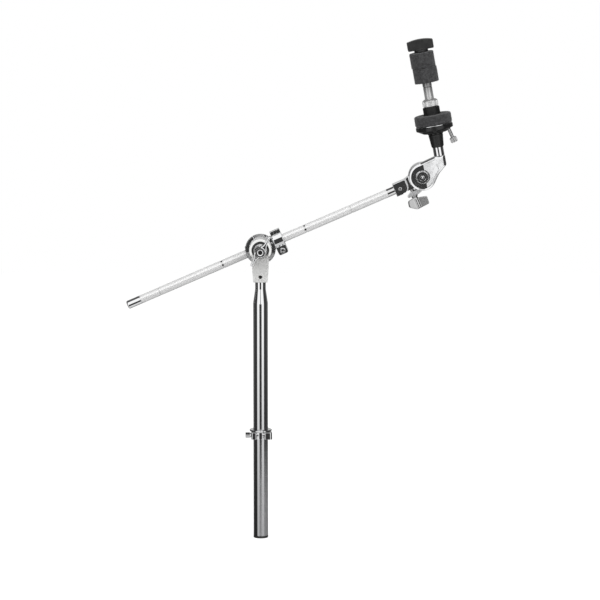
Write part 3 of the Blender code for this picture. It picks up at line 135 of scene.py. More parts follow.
# %% A socket that can be added and multiplied
class Value:
    """One output socket of a node tree, whose maths adds nodes to that tree."""
    def __init__(self, tree, socket):
        self.tree = tree
        self.socket = socket

    def math(self, operation, *others, swap=False):
        node = self.tree.nodes.new("ShaderNodeMath")
        node.operation = operation
        terms = [self, *others]
        if swap:
            terms.reverse()
        for slot, term in zip(node.inputs, terms):
            if isinstance(term, Value):
                self.tree.links.new(term.socket, slot)
            else:
                slot.default_value = term
        return Value(self.tree, node.outputs[0])

    def parts(self):
        """The x, y and z of a vector."""
        node = self.tree.nodes.new("ShaderNodeSeparateXYZ")
        self.tree.links.new(self.socket, node.inputs[0])
        return [Value(self.tree, socket) for socket in node.outputs]

    def __add__(self, other): return self.math("ADD", other)
    def __radd__(self, other): return self.math("ADD", other)
    def __sub__(self, other): return self.math("SUBTRACT", other)
    def __rsub__(self, other): return self.math("SUBTRACT", other, swap=True)
    def __mul__(self, other): return self.math("MULTIPLY", other)
    def __rmul__(self, other): return self.math("MULTIPLY", other)
    def __rtruediv__(self, other): return self.math("DIVIDE", other, swap=True)
    def above(self, limit): return self.math("GREATER_THAN", limit)
    def below(self, limit): return self.math("LESS_THAN", limit)
    def size(self): return self.math("ABSOLUTE")

    def ramp(self, low, high, start=0.0, end=1.0):
        """Smoothly from start at low to end at high."""
        node = self.tree.nodes.new("ShaderNodeMapRange")
        node.interpolation_type = "SMOOTHSTEP"
        self.tree.links.new(self.socket, node.inputs["Value"])
        for name, value in (("From Min", low), ("From Max", high), ("To Min", start), ("To Max", end)):
            node.inputs[name].default_value = value
        return Value(self.tree, node.outputs[0])

    def sweep(self, low, high):
        """An angle's ramp from 0 to 1 between two values in degrees."""
        return self.ramp(math.radians(low), math.radians(high))


def socket_of(node, name):
    """An input by its name, where an underscore stands for a space, or by its number, as in i0."""
    numbered = name[0] == "i" and name[1:].isdigit()
    return node.inputs[int(name[1:]) if numbered else name.replace("_", " ")]


def add_node(tree, kind, settings=None, output=0, **sockets):
    """One node of any type: its settings are made first, then its sockets get values or links."""
    node = tree.nodes.new(kind)
    for name, value in (settings or {}).items():
        setattr(node, name, value)
    for name, value in sockets.items():
        socket = socket_of(node, name)
        if isinstance(value, Value):
            tree.links.new(value.socket, socket)
        else:
            socket.default_value = value
    return Value(tree, node.outputs[output])


print("a value can be added, subtracted, multiplied, compared and ramped")

# %% [markdown]
# The studio comes before the metal, because polished chrome has no colour of its own: it only
# shows the room. The room here is a bright wall in front with the dark shape of the camera in its
# lower middle, a pale floor and a dim back. It is drawn in the world for glossy rays alone. The
# camera sees plain white, and everything else gets an even soft light.

# %% World: white to the camera, a studio to the metal
WALL_LIGHT, CAMERA_SHADE, FLOOR_LIGHT = 1.05, 0.96, 0.62
BACK_LIGHT, BEHIND_LIGHT, DARKEST, SOFT_LEVEL = 0.16, 0.6, 0.045, 0.62


def studio(tree):
    """How bright the room is in each direction, from angles to the side and up in degrees."""
    x, y, z = add_node(tree, "ShaderNodeTexCoord").parts()
    side = x.math("ARCTAN2", y * -1).size()
    elevation = z.math("ARCSINE")
    wall = side.sweep(58, 50) * elevation.sweep(-66, -56) * elevation.sweep(86, 78)
    body = side.sweep(19.5, 16.5) * elevation.sweep(-3.2, -4.6)
    mast = side.sweep(5.5, 3.5) * elevation.sweep(15, 12)
    camera = body.math("MAXIMUM", mast) * elevation.sweep(-60, -55)
    floor = elevation.sweep(-54, -62)
    back = side.sweep(112, 122) * side.sweep(168, 158) * elevation.sweep(-46, -40)
    behind = side.sweep(166, 171) * elevation.sweep(-30, -20) * elevation.sweep(70, 60)
    level = wall * WALL_LIGHT * (1 - camera * CAMERA_SHADE)
    for other in (floor * FLOOR_LIGHT, back * BACK_LIGHT, behind * BEHIND_LIGHT, DARKEST):
        level = level.math("MAXIMUM", other)
    return level


world = bpy.data.worlds.new("studio")
bpy.context.scene.world = world
world.use_nodes = True
tree = world.node_tree
tree.nodes.clear()
paths = tree.nodes.new("ShaderNodeLightPath")
is_camera = Value(tree, paths.outputs["Is Camera Ray"])
is_glossy = Value(tree, paths.outputs["Is Glossy Ray"])
is_through = Value(tree, paths.outputs["Is Transmission Ray"])
mirrored = is_glossy.math("MAXIMUM", is_through)
level = studio(tree) * mirrored + (1 - mirrored) * SOFT_LEVEL
level = level * (1 - is_camera) + is_camera
background = tree.nodes.new("ShaderNodeBackground")
background.inputs["Color"].default_value = (1, 1, 1, 1)
tree.links.new(level.socket, background.inputs["Strength"])
output = tree.nodes.new("ShaderNodeOutputWorld")
tree.links.new(background.outputs[0], output.inputs["Surface"])
print("the world has", len(tree.nodes), "nodes")

# %% [markdown]
# Two wide lamps and one overhead give the black felts and plastics their shape, and put a faint
# shadow on the floor. They are hidden from glossy rays, since the world already draws the studio.

# %% Lamps, floor and camera
middle = (CAD_BOX[0] + CAD_BOX[1]) / 2


def lamp(name, place, size, power):
    """An area lamp of a size in metres and a power in watts, aimed at the middle of the part."""
    data = bpy.data.lights.new(name, "AREA")
    data.shape = "RECTANGLE"
    data.size, data.size_y = size
    data.energy = power
    item = bpy.data.objects.new(name, data)
    bpy.context.scene.collection.objects.link(item)
    item.location = place
    item.rotation_euler = (middle - Vector(place)).to_track_quat("-Z", "Y").to_euler()
    item.visible_glossy = False
    item.visible_camera = False


lamp("lamp_left", (-2.0, -2.4, 1.6), (1.4, 2.0), 42)
lamp("lamp_right", (2.2, -2.2, 1.4), (1.4, 2.0), 34)
lamp("lamp_top", (0.2, -0.3, 3.0), (2.0, 2.0), 40)

floor_mesh = bpy.data.meshes.new("floor")
FLOOR_HALF, FLOOR_GAP, FLOOR_TONE, FLOOR_GLOW = 3, 0.0002, 0.5, 0.62
floor_corners = [(x * FLOOR_HALF, y * FLOOR_HALF, 0) for x, y in ((-1, -1), (1, -1), (1, 1), (-1, 1))]
floor_mesh.from_pydata(floor_corners, [], [(0, 1, 2, 3)])
floor = bpy.data.objects.new("floor", floor_mesh)
bpy.context.scene.collection.objects.link(floor)
floor.location.z = -FLOOR_GAP
floor.visible_glossy = False
floor_look = bpy.data.materials.new("pale_floor")
floor_look.use_nodes = True
tree = floor_look.node_tree
tree.nodes.clear()
paths = tree.nodes.new("ShaderNodeLightPath")
seen = Value(tree, paths.outputs["Is Camera Ray"])
matt = add_node(tree, "ShaderNodeBsdfDiffuse", Color=(FLOOR_TONE, FLOOR_TONE, FLOOR_TONE, 1))
glow = add_node(tree, "ShaderNodeEmission", Color=(1, 1, 1, 1), Strength=seen * FLOOR_GLOW)
both = tree.nodes.new("ShaderNodeAddShader")
tree.links.new(matt.socket, both.inputs[0])
tree.links.new(glow.socket, both.inputs[1])
output = tree.nodes.new("ShaderNodeOutputMaterial")
tree.links.new(both.outputs[0], output.inputs["Surface"])
floor_mesh.materials.append(floor_look)

camera_data = bpy.data.cameras.new("camera")
camera_data.sensor_width = 36
camera_data.lens = 204
camera = bpy.data.objects.new("camera", camera_data)
bpy.context.scene.collection.objects.link(camera)
CAMERA_AT, LOOKS_DOWN = (0.0597, -5.0853, 1.0983), 8.2
camera.location = CAMERA_AT
camera.rotation_euler = (math.radians(90 - LOOKS_DOWN), 0, 0)
camera_data.clip_end = 60
bpy.context.scene.camera = camera
bpy.context.scene.view_settings.view_transform = "Standard"
print("the camera looks", LOOKS_DOWN, "degrees down through a lens of", camera_data.lens, "mm")

# %% [markdown]
# Most of the piece is turned on a lathe, so it is drawn as a half outline and turned about its
# axis. A real edge is never sharp: each corner of the outline carries its own small radius, which
# is what catches the light on chrome. Sizes are in millimetres, along the local Z of a place.

# %% Outlines with rounded corners, turned shells and flat slabs
def rounded(corners, closed=True, arc_steps=4):
    """Points (x, y) from corners (x, y, radius), with an arc of that radius at each corner."""
    points = []
    count = len(corners)
    for index, corner in enumerate(corners):
        here = Vector(corner[:2])
        radius = corner[2] if len(corner) > 2 else 0
        if not closed and index in (0, count - 1) or radius == 0:
            points.append(here)
            continue
        back = Vector(corners[index - 1][:2]) - here
        ahead = Vector(corners[(index + 1) % count][:2]) - here
        half = back.angle(ahead, math.pi) / 2
        if half > math.radians(88):
            points.append(here)
            continue
        reach = min(radius / math.tan(half), back.length * 0.48, ahead.length * 0.48)
        start, end = here + back.normalized() * reach, here + ahead.normalized() * reach
        middle = here + (back.normalized() + ahead.normalized()).normalized() * (reach / math.cos(half))
        first, last = start - middle, end - middle
        turn = first.angle_signed(last)
        for step in range(arc_steps + 1):
            angle = -turn * step / arc_steps
            c, s = math.cos(angle), math.sin(angle)
            points.append(middle + Vector((first.x * c - first.y * s, first.x * s + first.y * c)))
    return [(point.x, point.y) for point in points]


def arc(radius, start, end, count, x=0.0, y=0.0):
    """Plain points on a circle between two angles in degrees."""
    angles = [math.radians(start + (end - start) * step / count) for step in range(count + 1)]
    return [(x + radius * math.cos(a), y + radius * math.sin(a)) for a in angles]


def mesh_of(build, place):
    """Closes a bmesh in millimetres into a mesh in metres, with its faces outwards."""
    bmesh.ops.remove_doubles(build, verts=build.verts, dist=0.001)
    bmesh.ops.recalc_face_normals(build, faces=build.faces)
    bmesh.ops.transform(build, matrix=place @ Matrix.Scale(MM, 4), verts=build.verts)
    mesh = bpy.data.meshes.new("shell")
    build.to_mesh(mesh)
    build.free()
    return mesh


def turned(corners, place=WORLD, closed=False, steps=96, arc_steps=4):
    """A mesh turned about Z from (radius, height, corner radius) down the outside."""
    profile = rounded(corners, closed, arc_steps)
    build = bmesh.new()
    rings = []
    for radius, height in profile:
        if radius < 1e-4:
            rings.append([build.verts.new((0, 0, height))] * steps)
            continue
        ring = [build.verts.new((radius * math.cos(a), radius * math.sin(a), height))
                for a in (math.tau * step / steps for step in range(steps))]
        rings.append(ring)
    for upper, lower in zip(rings, rings[1:] + rings[:1] if closed else rings[1:]):
        for step in range(steps):
            after = (step + 1) % steps
            face = list(dict.fromkeys([upper[step], lower[step], lower[after], upper[after]]))
            if len(face) > 2:
                build.faces.new(face)
    return mesh_of(build, place)


def walled(levels, place):
    """A closed mesh through outlines of as many points, each at its height."""
    build = bmesh.new()
    rings = [[build.verts.new((x, y, height)) for x, y in points] for points, height in levels]
    build.faces.new(list(reversed(rings[0])))
    build.faces.new(rings[-1])
    count = len(rings[0])
    for lower, upper in zip(rings, rings[1:]):
        for index in range(count):
            after = (index + 1) % count
            build.faces.new((lower[index], lower[after], upper[after], upper[index]))
    bmesh.ops.triangulate(build, faces=[face for face in build.faces if len(face.verts) > 4])
    return mesh_of(build, place)


def slab(outline, low, high, place=WORLD, has_radii=True):
    """A flat outline, with its own corner radii, between two heights."""
    points = rounded(outline) if has_radii else outline
    return walled([(points, low), (points, high)], place)


def inset_of(outline, inset):
    """The rounded outline moved inwards, point by point."""
    points = [Vector(point) for point in rounded(outline)]
    inner = []
    for index, point in enumerate(points):
        before = (point - points[index - 1]).normalized()
        after = (points[(index + 1) % len(points)] - point).normalized()
        way = (before + after).normalized()
        inner.append(tuple(point + Vector((-way.y, way.x)) * inset))
    return inner


def clear_inset(outline, inset):
    """The outline moved inwards, without the points that would cross over at tight corners."""
    points = [Vector(point) for point in rounded(outline)]
    sides = list(zip(points, points[1:] + points[:1]))
    kept = []
    for spot in inset_of(outline, inset):
        here = Vector(spot)
        gaps = []
        for start, end in sides:
            side = end - start
            share = min(max((here - start).dot(side) / max(side.length_squared, 1e-9), 0), 1)
            gaps.append((here - start - side * share).length)
        if min(gaps) > inset * 0.985:
            kept.append(spot)
    return kept


def bevelled(outline, low, high, inset, drop):
    """A slab whose upper edge slopes in by an inset over a drop."""
    edge = rounded(outline)
    return walled([(edge, low), (edge, high - drop), (inset_of(outline, inset), high)], WORLD)


def block(low, high, place=WORLD):
    """A plain box between two corners."""
    corners = [(low[0], low[1]), (high[0], low[1]), (high[0], high[1]), (low[0], high[1])]
    return slab(corners, low[2], high[2], place, False)


def lathe(hole, corners, place=WORLD, steps=96):
    """A turned mesh from its outer corners, top first, with a hole of a radius, or solid at 0."""
    outline = [(hole, corners[0][1]), *corners, (hole, corners[-1][1])]
    return turned(outline, place, hole > 0, steps)


def pin(radius, low, high, place=WORLD, steps=64, edge=0):
    """A solid cylinder between two heights, with an edge radius at both ends."""
    return lathe(0, [(radius, high, edge), (radius, low, edge)], place, steps)


def band(hole, radius, low, high, edge=0, place=WORLD, steps=96):
    """A ring between two heights, with an edge radius outside."""
    return lathe(hole, [(radius, high, edge), (radius, low, edge)], place, steps)


SQUARE = [(0, 0, 1), (9, 0, 1), (9, 9, 1), (0, 9, 1)]
print("a square with rounded corners has", len(rounded(SQUARE)), "points")

# %% [markdown]
# Cast pieces are melted together: their shells are joined, turned to one skin of small even
# faces, smoothed so that every edge and inner corner gets the soft radius of a die casting, and
# only then drilled, because a drilled hole keeps its crisp edge.

# %% Castings, and putting a finished piece in its CAD node's place
def show(mesh, name):
    """A mesh as an object in the scene."""
    item = bpy.data.objects.new(name, mesh)
    bpy.context.scene.collection.objects.link(item)
    return item


def merged(meshes):
    """Several meshes as one."""
    build = bmesh.new()
    for mesh in meshes:
        build.from_mesh(mesh)
    result = bpy.data.meshes.new("merged")
    build.to_mesh(result)
    build.free()
    return result


def baked(item):
    """The object's evaluated mesh. The object and its modifiers are removed."""
    evaluated = item.evaluated_get(bpy.context.evaluated_depsgraph_get())
    mesh = bpy.data.meshes.new_from_object(evaluated)
    bpy.data.objects.remove(item, do_unlink=True)
    return mesh


def drill(item, cutters):
    """Boolean modifiers that take the cutters out of an item. The cutters' objects come back."""
    made = []
    for number, mesh in enumerate(cutters):
        cutter = show(mesh, f"cutter_{number}")
        step = item.modifiers.new("cut", "BOOLEAN")
        step.operation, step.solver, step.object = "DIFFERENCE", "MANIFOLD", cutter
        made.append(cutter)
    return made


def drilled_mesh(item, cutters):
    """The item's finished mesh. The item and the cutters' objects are removed."""
    bpy.context.view_layer.update()
    mesh = baked(item)
    for cutter in cutters:
        bpy.data.objects.remove(cutter, do_unlink=True)
    return mesh


def minus(mesh, *cutters):
    """The mesh with the cutters taken out."""
    item = show(mesh, "minus")
    return drilled_mesh(item, drill(item, cutters))


def cast(shells, cuts=(), *, grain, melt=5):
    """One mesh from overlapping shells: melted at a grain in millimetres, smoothed, then drilled."""
    item = show(merged(shells), "casting")
    skin = item.modifiers.new("melt", "REMESH")
    skin.mode, skin.voxel_size, skin.use_smooth_shade = "VOXEL", grain * MM, True
    smooth = item.modifiers.new("smooth", "SMOOTH")
    smooth.factor, smooth.iterations = 0.5, melt
    return drilled_mesh(item, drill(item, cuts))


SHARP_EDGE = math.radians(38)     # an edge stays crisp where its faces turn by more than this
FLAT_FACES_FIRST = 90             # large flat faces win over small ones in the shading


def piece(name, mesh, look, nodes, place=WORLD):
    """A finished piece that stands for its CAD nodes and rides where the first of them rides."""
    nodes = [nodes] if isinstance(nodes, str) else nodes
    mesh.transform(place)
    mesh.shade_smooth()
    mesh.set_sharp_from_angle(angle=SHARP_EDGE)
    draft = show(mesh, "draft")
    weigh = draft.modifiers.new("weigh", "WEIGHTED_NORMAL")
    weigh.keep_sharp, weigh.weight = True, FLAT_FACES_FIRST
    bpy.context.view_layer.update()
    mesh = baked(draft)
    mesh.name = name
    item = show(mesh, name)
    mesh.materials.clear()
    mesh.materials.append(look)
    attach(item, BODY_OF[nodes[0]])
    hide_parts(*nodes)
    print(name, len(mesh.polygons), "faces")
    return item


print("edges stay crisp above", round(math.degrees(SHARP_EDGE)), "degrees")

# %% [markdown]
# Chromed parts are not one perfect mirror, because handling leaves a soft haze on them. A finish
# here is a small set of patterns in Object coordinates: grain for haze, flecks for fibre, colour
# painted over the base for darker rings and for painted shade and painted reflections, and a bump
# for what a fingertip would feel.

# %% A finish and its patterns
class Finish:
    """A material with its shader. Patterns are read in the piece's own coordinates, in metres."""
    def __init__(self, name, **constants):
        self.look = bpy.data.materials.new(name)
        self.look.use_nodes = True
        self.tree = self.look.node_tree
        self.shader = self.tree.nodes["Principled BSDF"]
        for socket, value in constants.items():
            self.shader.inputs[socket.replace("_", " ")].default_value = value
        self.place = add_node(self.tree, "ShaderNodeTexCoord", output=3)

    def grain(self, size, detail=2.0, turn=(0, 0, 0), stretch=(1, 1, 1)):
        """Soft noise from 0 to 1, whose patches are about as wide as a size in millimetres."""
        spread = add_node(self.tree, "ShaderNodeMapping", Vector=self.place, Rotation=turn,
                          Scale=stretch)
        return add_node(self.tree, "ShaderNodeTexNoise", Vector=spread, Scale=1 / (size * MM),
                        Detail=detail)

    def flecks(self, size):
        """Distance from the middle of the nearest fleck, in flecks of a size in millimetres."""
        return add_node(self.tree, "ShaderNodeTexVoronoi", Vector=self.place, Scale=1 / (size * MM))

    def mix(self, mask, low, high):
        """One colour where the mask is 0, another where it is 1. Each is a tuple or a Value."""
        node = self.tree.nodes.new("ShaderNodeMix")
        node.data_type = "RGBA"
        colours = [slot for slot in node.inputs if slot.type == "RGBA"]
        self.tree.links.new(mask.socket, node.inputs["Factor"])
        for slot, colour in zip(colours, (low, high)):
            if isinstance(colour, Value):
                self.tree.links.new(colour.socket, slot)
            else:
                slot.default_value = (*colour, 1)
        return Value(self.tree, next(slot for slot in node.outputs if slot.type == "RGBA"))

    def colour(self, mask, low, high):
        """Feeds the base colour with a mix of two."""
        self.tint = self.mix(mask, low, high)
        self.feed("Base Color", self.tint)

    # paints another colour over the base, used for painted shade and painted reflections as well as darker rings
    def paint_over(self, mask, colour):
        """Covers the base colour with another where the mask is 1."""
        self.tint = self.mix(mask, self.tint, colour)
        self.feed("Base Color", self.tint)

    def feed(self, socket, value):
        """Links a value to one of the shader's sockets."""
        self.tree.links.new(value.socket, self.shader.inputs[socket])

    def local(self, place):
        """Coordinates in millimetres along the axes of a place."""
        mapped = add_node(self.tree, "ShaderNodeMapping", {"vector_type": "TEXTURE"}, Vector=self.place,
                          Location=place.translation, Rotation=place.to_euler(), Scale=(MM, MM, MM))
        return mapped.parts()

    def bump(self, height, rise, strength):
        """Relief with a rise in millimetres."""
        node = add_node(self.tree, "ShaderNodeBump", Height=height, Distance=rise * MM,
                        Strength=strength)
        self.feed("Normal", node)


print("a finish has grain, flecks, stains and a bump")

# %% [markdown]
# The chrome comes in three grades. Turned parts are bright and clean. Die castings are bright too,
# with a little more haze, and their flat lands lean a little after polishing. The bracket and
# washer have the third, a fine blasted satin that spreads the light evenly.

# %% Chrome: turned, cast and satin
CLEAN = 0.035     # roughness of chrome that nobody has touched


def chrome_finish(name, haze, tone=0.9):
    """A mirror whose roughness rises by the haze in cloudy patches."""
    finish = Finish(name, Metallic=1.0)
    wide, fine = finish.grain(14, 3), finish.grain(1.6, 2)
    cloud = wide * 0.7 + fine * 0.3
    finish.rough = cloud.ramp(0.35, 0.75, CLEAN, CLEAN + haze)
    finish.feed("Roughness", finish.rough)
    cool, warm = (0.975, 0.98, 0.99), (1.0, 1.005, 1.01)
    finish.colour(cloud.ramp(0.3, 0.7), [tone * share for share in cool],
                  [tone * share for share in warm])
    return finish


chrome = chrome_finish("turned_chrome", haze=0.05).look


def tilted_finish(name, place, mask_of, right, up):
    """Cast chrome with a flat land, picked out by a mask, that leans by degrees right and up."""
    finish = chrome_finish(name, haze=0.09)
    x, y, z = finish.local(place)
    plane = (x * math.tan(math.radians(right)) + y * math.tan(math.radians(up))) * -1
    finish.mask = mask_of(x, y, z)
    finish.bump(plane, 1.0, finish.mask)
    return finish


def satin_finish(name, tone, rough, size, metal=1.0):
    """Blasted or drawn metal, with a grain of a size in millimetres."""
    finish = Finish(name, Metallic=metal)
    blast, cloud = finish.grain(size, 3), finish.grain(12, 2)
    finish.feed("Roughness", (blast * 0.5 + cloud * 0.5).ramp(0.3, 0.7, rough - 0.04, rough + 0.05))
    finish.colour(blast.ramp(0.3, 0.7), (tone * 0.96,) * 3, (tone * 1.02,) * 3)
    finish.bump(blast, size * 0.04, 0.5)
    return finish


satin = satin_finish("satin_chrome", tone=0.92, rough=0.42, size=0.7).look
steel = satin_finish("plated_steel", tone=0.66, rough=0.24, size=0.9).look
nut_satin = satin_finish("knurled_satin", tone=0.9, rough=0.36, size=0.9, metal=0.9).look
screw_plating = satin_finish("screw_plating", tone=0.72, rough=0.32, size=0.9).look
dark_steel = satin_finish("blackened_steel", tone=0.06, rough=0.35, size=0.9).look
print("chrome, satin and steel are ready")

# %% [markdown]
# Black parts are moulded plastic and rubber with a spark-eroded texture: matt, with a soft sheen
# on the edges. The lining of the brake is pressed fibre with pale flecks. Felt is wool pressed
# into a disc: dark grey, mottled, with single hairs that stand off it.

# %% Plastic, rubber, lining and felt
def moulded_finish(name, tone, rough, size, rise):
    """Plastic or rubber with an eroded skin of a grain size and rise in millimetres."""
    finish = Finish(name, IOR=1.48)
    skin, cloud = finish.grain(size, 4), finish.grain(11, 2)
    finish.feed("Roughness", (skin * 0.6 + cloud * 0.4).ramp(0.3, 0.7, rough - 0.07, rough + 0.08))
    finish.colour(cloud.ramp(0.3, 0.75), (tone * 0.8, tone * 0.8, tone * 0.82),
                  (tone * 1.3, tone * 1.3, tone * 1.28))
    finish.bump(skin, rise, 0.6)
    return finish.look


black = moulded_finish("moulded_plastic", tone=0.014, rough=0.42, size=0.55, rise=0.05)
gloss_black = moulded_finish("enamelled_cup", tone=0.012, rough=0.24, size=0.9, rise=0.02)
bushing_black = moulded_finish("bushing_rubber", tone=0.006, rough=0.52, size=0.7, rise=0.05)
rubber = moulded_finish("black_rubber", tone=0.018, rough=0.6, size=0.8, rise=0.08)
nylon = moulded_finish("nylon", tone=0.03, rough=0.35, size=1.2, rise=0.03)


def felt_finish(name, dark, light):
    """Wool in mottled greys, between a dark and a light one."""
    finish = Finish(name, Roughness=0.95, Sheen_Weight=0.12, Sheen_Roughness=0.5)
    wool, tuft = finish.grain(1.3, 5), finish.grain(4.5, 3)
    fibre = finish.grain(0.5, 2, stretch=(1, 1, 2.5))
    mottle = wool * 0.45 + tuft * 0.25 + fibre * 0.3
    finish.colour(mottle.ramp(0.36, 0.64), (dark, dark, dark * 1.04), (light, light, light * 1.03))
    finish.bump(fibre * 0.5 + wool * 0.5, 0.5, 0.9)
    return finish.look


felt = felt_finish("wool_felt", 0.009, 0.072)
# the hairs are a lighter copy of the wool, as painted sheen on the loose fibres at the edges
felt_hair = felt_finish("wool_hair", 0.03, 0.13)


def lining_finish(name):
    """Pressed fibre with pale chips in it."""
    finish = Finish(name, Roughness=0.85)
    chips = finish.flecks(0.9).ramp(0.05, 0.45)
    finish.colour(chips, (0.16, 0.13, 0.1), (0.035, 0.03, 0.027))
    finish.bump(finish.grain(0.7, 3), 0.08, 0.7)
    return finish.look


lining = lining_finish("brake_lining_fibre")
print("plastic, rubber, nylon, lining and felt are ready")

# %% [markdown]
# Threads, flutes, knurls, ribs and hairs repeat by rule, so Geometry Nodes make them. Four small
# trees do it all: one sets copies of a form round an axis, one winds a thread, one draws a fluted
# bar, and one plants hairs. Each has named inputs and ends in plain faces with their material set.

# %% Trees for forms round an axis, threads, fluted bars and hairs
class Tree:
    """A Geometry Nodes tree with named inputs. Nodes are added with call(kind, settings, values)."""
    def __init__(self, name, **inputs):
        self.tree = bpy.data.node_groups.new(name, "GeometryNodeTree")
        self.keys = {}
        self.tree.interface.new_socket("Geometry", in_out="OUTPUT", socket_type="NodeSocketGeometry")
        for label, kind in inputs.items():
            socket = self.tree.interface.new_socket(label, in_out="INPUT",
                                                    socket_type="NodeSocket" + kind)
            self.keys[label] = socket.identifier
        self.source = self.tree.nodes.new("NodeGroupInput")

    def __getitem__(self, label):
        return Value(self.tree, self.source.outputs[label])

    def call(self, kind, settings=None, output=0, **values):
        return add_node(self.tree, kind, settings, output, **values)

    def end(self, geometry):
        """Plain faces, with the material of the input Look."""
        real = self.call("GeometryNodeRealizeInstances", Geometry=geometry)
        dressed = self.call("GeometryNodeSetMaterial", Geometry=real, Material=self["Look"])
        sink = self.tree.nodes.new("NodeGroupOutput")
        self.tree.links.new(dressed.socket, sink.inputs[0])

    def grow(self, **values):
        """The mesh that this tree makes from these inputs, in metres."""
        item = show(bpy.data.meshes.new("seed"), "grown")
        step = item.modifiers.new("grow", "NODES")
        step.node_group = self.tree
        for label, value in values.items():
            step[self.keys[label]] = value
        item.update_tag()
        bpy.context.view_layer.update()
        return baked(item)


around = Tree("forms_round_an_axis", Form="Object", Count="Int", Look="Material")
points = around.call("GeometryNodePoints", Count=around["Count"])
angle = around.call("GeometryNodeInputIndex") * (math.tau / around["Count"])
turn = around.call("ShaderNodeCombineXYZ", Z=angle)
form = around.call("GeometryNodeObjectInfo", output=4, Object=around["Form"])
around.end(around.call("GeometryNodeInstanceOnPoints", Points=points, Instance=form, Rotation=turn))

winding = Tree("thread", Radius="Float", Pitch="Float", Turns="Float", Depth="Float", Look="Material")
radius, pitch, turns = (winding[label] for label in ("Radius", "Pitch", "Turns"))
coil = winding.call("GeometryNodeCurveSpiral", Resolution=32, Rotations=turns, Start_Radius=radius,
                    End_Radius=radius, Height=pitch * turns)
section = winding.call("GeometryNodeCurvePrimitiveCircle", Resolution=4, Radius=winding["Depth"])
winding.end(winding.call("GeometryNodeCurveToMesh", Curve=coil, Profile_Curve=section, Fill_Caps=True))

fluting = Tree("fluted_bar", Radius="Float", Depth="Float", Flutes="Int", Low="Float", High="Float",
               Look="Material")
radius, depth, flutes = (fluting[label] for label in ("Radius", "Depth", "Flutes"))
circle = fluting.call("GeometryNodeCurvePrimitiveCircle", Resolution=flutes * 8, Radius=1.0)
spot = fluting.call("GeometryNodeInputPosition")
x, y, z = spot.parts()
wave = (y.math("ARCTAN2", x) * (flutes * 0.5)).math("SINE").size()
width = radius - depth * (1.0 - wave.math("POWER", 0.6))
scaled = fluting.call("ShaderNodeVectorMath", {"operation": "SCALE"}, Vector=spot, Scale=width)
star = fluting.call("GeometryNodeSetPosition", Geometry=circle, Position=scaled)
ends = [fluting.call("ShaderNodeCombineXYZ", Z=fluting[label]) for label in ("Low", "High")]
spine = fluting.call("GeometryNodeCurvePrimitiveLine", Start=ends[0], End=ends[1])
fluting.end(fluting.call("GeometryNodeCurveToMesh", Curve=spine, Profile_Curve=star, Fill_Caps=True))

hairy = Tree("felt_hairs", Form="Object", Density="Float", Length="Float", Thickness="Float",
             Centre="Vector", Seed="Int", Look="Material")
seed, length = hairy["Seed"], hairy["Length"]
skin = hairy.call("GeometryNodeObjectInfo", output=4, Object=hairy["Form"])
out_from = hairy.call("ShaderNodeVectorMath", {"operation": "SUBTRACT"},
                      i0=hairy.call("GeometryNodeInputPosition"), i1=hairy["Centre"])
outwards = hairy.call("ShaderNodeVectorMath", {"operation": "DOT_PRODUCT"}, output=1,
                      i0=hairy.call("GeometryNodeInputNormal"), i1=out_from)
roots = hairy.call("GeometryNodeDistributePointsOnFaces", Mesh=skin, Selection=outwards.above(0.0),
                   Density=hairy["Density"], Seed=seed)
upright = Value(hairy.tree, roots.socket.node.outputs["Rotation"])
bend = hairy.call("GeometryNodeCurveQuadraticBezier", Resolution=3, Start=(0, 0, 0),
                  Middle=(0.1, 0, 0.55), End=(0.6, 0, 0.75))
strand = hairy.call("GeometryNodeTransform", Geometry=bend,
                    Scale=hairy.call("ShaderNodeCombineXYZ", X=length, Y=length, Z=length))
section = hairy.call("GeometryNodeCurvePrimitiveCircle", Resolution=3, Radius=hairy["Thickness"])
fibre = hairy.call("GeometryNodeCurveToMesh", Curve=strand, Fill_Caps=True, Profile_Curve=section)
spread = hairy.call("FunctionNodeRandomValue", {"data_type": "FLOAT_VECTOR"}, i0=(0.5, 0.5, 0.3),
                    i1=(1.4, 1.4, 1.0), Seed=seed)
planted = hairy.call("GeometryNodeInstanceOnPoints", Points=roots, Instance=fibre, Rotation=upright,
                     Scale=spread)
whirl = hairy.call("FunctionNodeRandomValue", {"data_type": "FLOAT"}, output=1, i2=0.0, i3=math.tau,
                   Seed=seed)
turn = hairy.call("ShaderNodeCombineXYZ", Z=whirl)
hairy.end(hairy.call("GeometryNodeRotateInstances", Instances=planted, Rotation=turn))


def ring_of(form, count, look):
    """Copies of a form in metres, set round the Z axis."""
    item = show(form, "form")
    mesh = around.grow(Form=item, Count=count, Look=look)
    bpy.data.objects.remove(item, do_unlink=True)
    return mesh


def thread(radius, pitch, low, high):
    """A wound chromed ridge with its crest at a radius in millimetres."""
    depth = pitch * 0.5
    mesh = winding.grow(Radius=(radius - depth) * MM, Pitch=pitch * MM, Turns=(high - low) / pitch,
                        Depth=depth * MM, Look=chrome)
    mesh.transform(shift(z=low))
    return mesh


print("trees:", ", ".join(group.name for group in bpy.data.node_groups))

# %% [markdown]
# The post is a length of chromed steel tube, spun down to a narrow neck at the top. It could be
# swept along a line, but a turned outline gives the neck its long double curve and the wall its
# thickness in one go. The lower end slides in and out of a base, so its plating is duller there.

# %% Post
low, high = corners_of("post_tube", WORLD)
POST_RADIUS, NECK_RADIUS, TUBE_WALL = high.x, 8.05, 1.5
NECK_SHOWS, CONE_LENGTH = 11.5, 21.0
bracket_low = corners_of("boom_bracket", WORLD)[0]
cone_top = bracket_low.z - NECK_SHOWS
cone_foot = cone_top - CONE_LENGTH
bore, neck_bore = POST_RADIUS - TUBE_WALL, NECK_RADIUS - TUBE_WALL
tube = turned([(NECK_RADIUS, high.z, 0.4), (NECK_RADIUS, cone_top, 14), (POST_RADIUS, cone_foot, 14),
               (POST_RADIUS, low.z, 0.5), (bore, low.z, 0.3), (bore, cone_foot, 6),
               (neck_bore, cone_top, 6), (neck_bore, high.z, 0.3)],
              closed=True, steps=128, arc_steps=6)


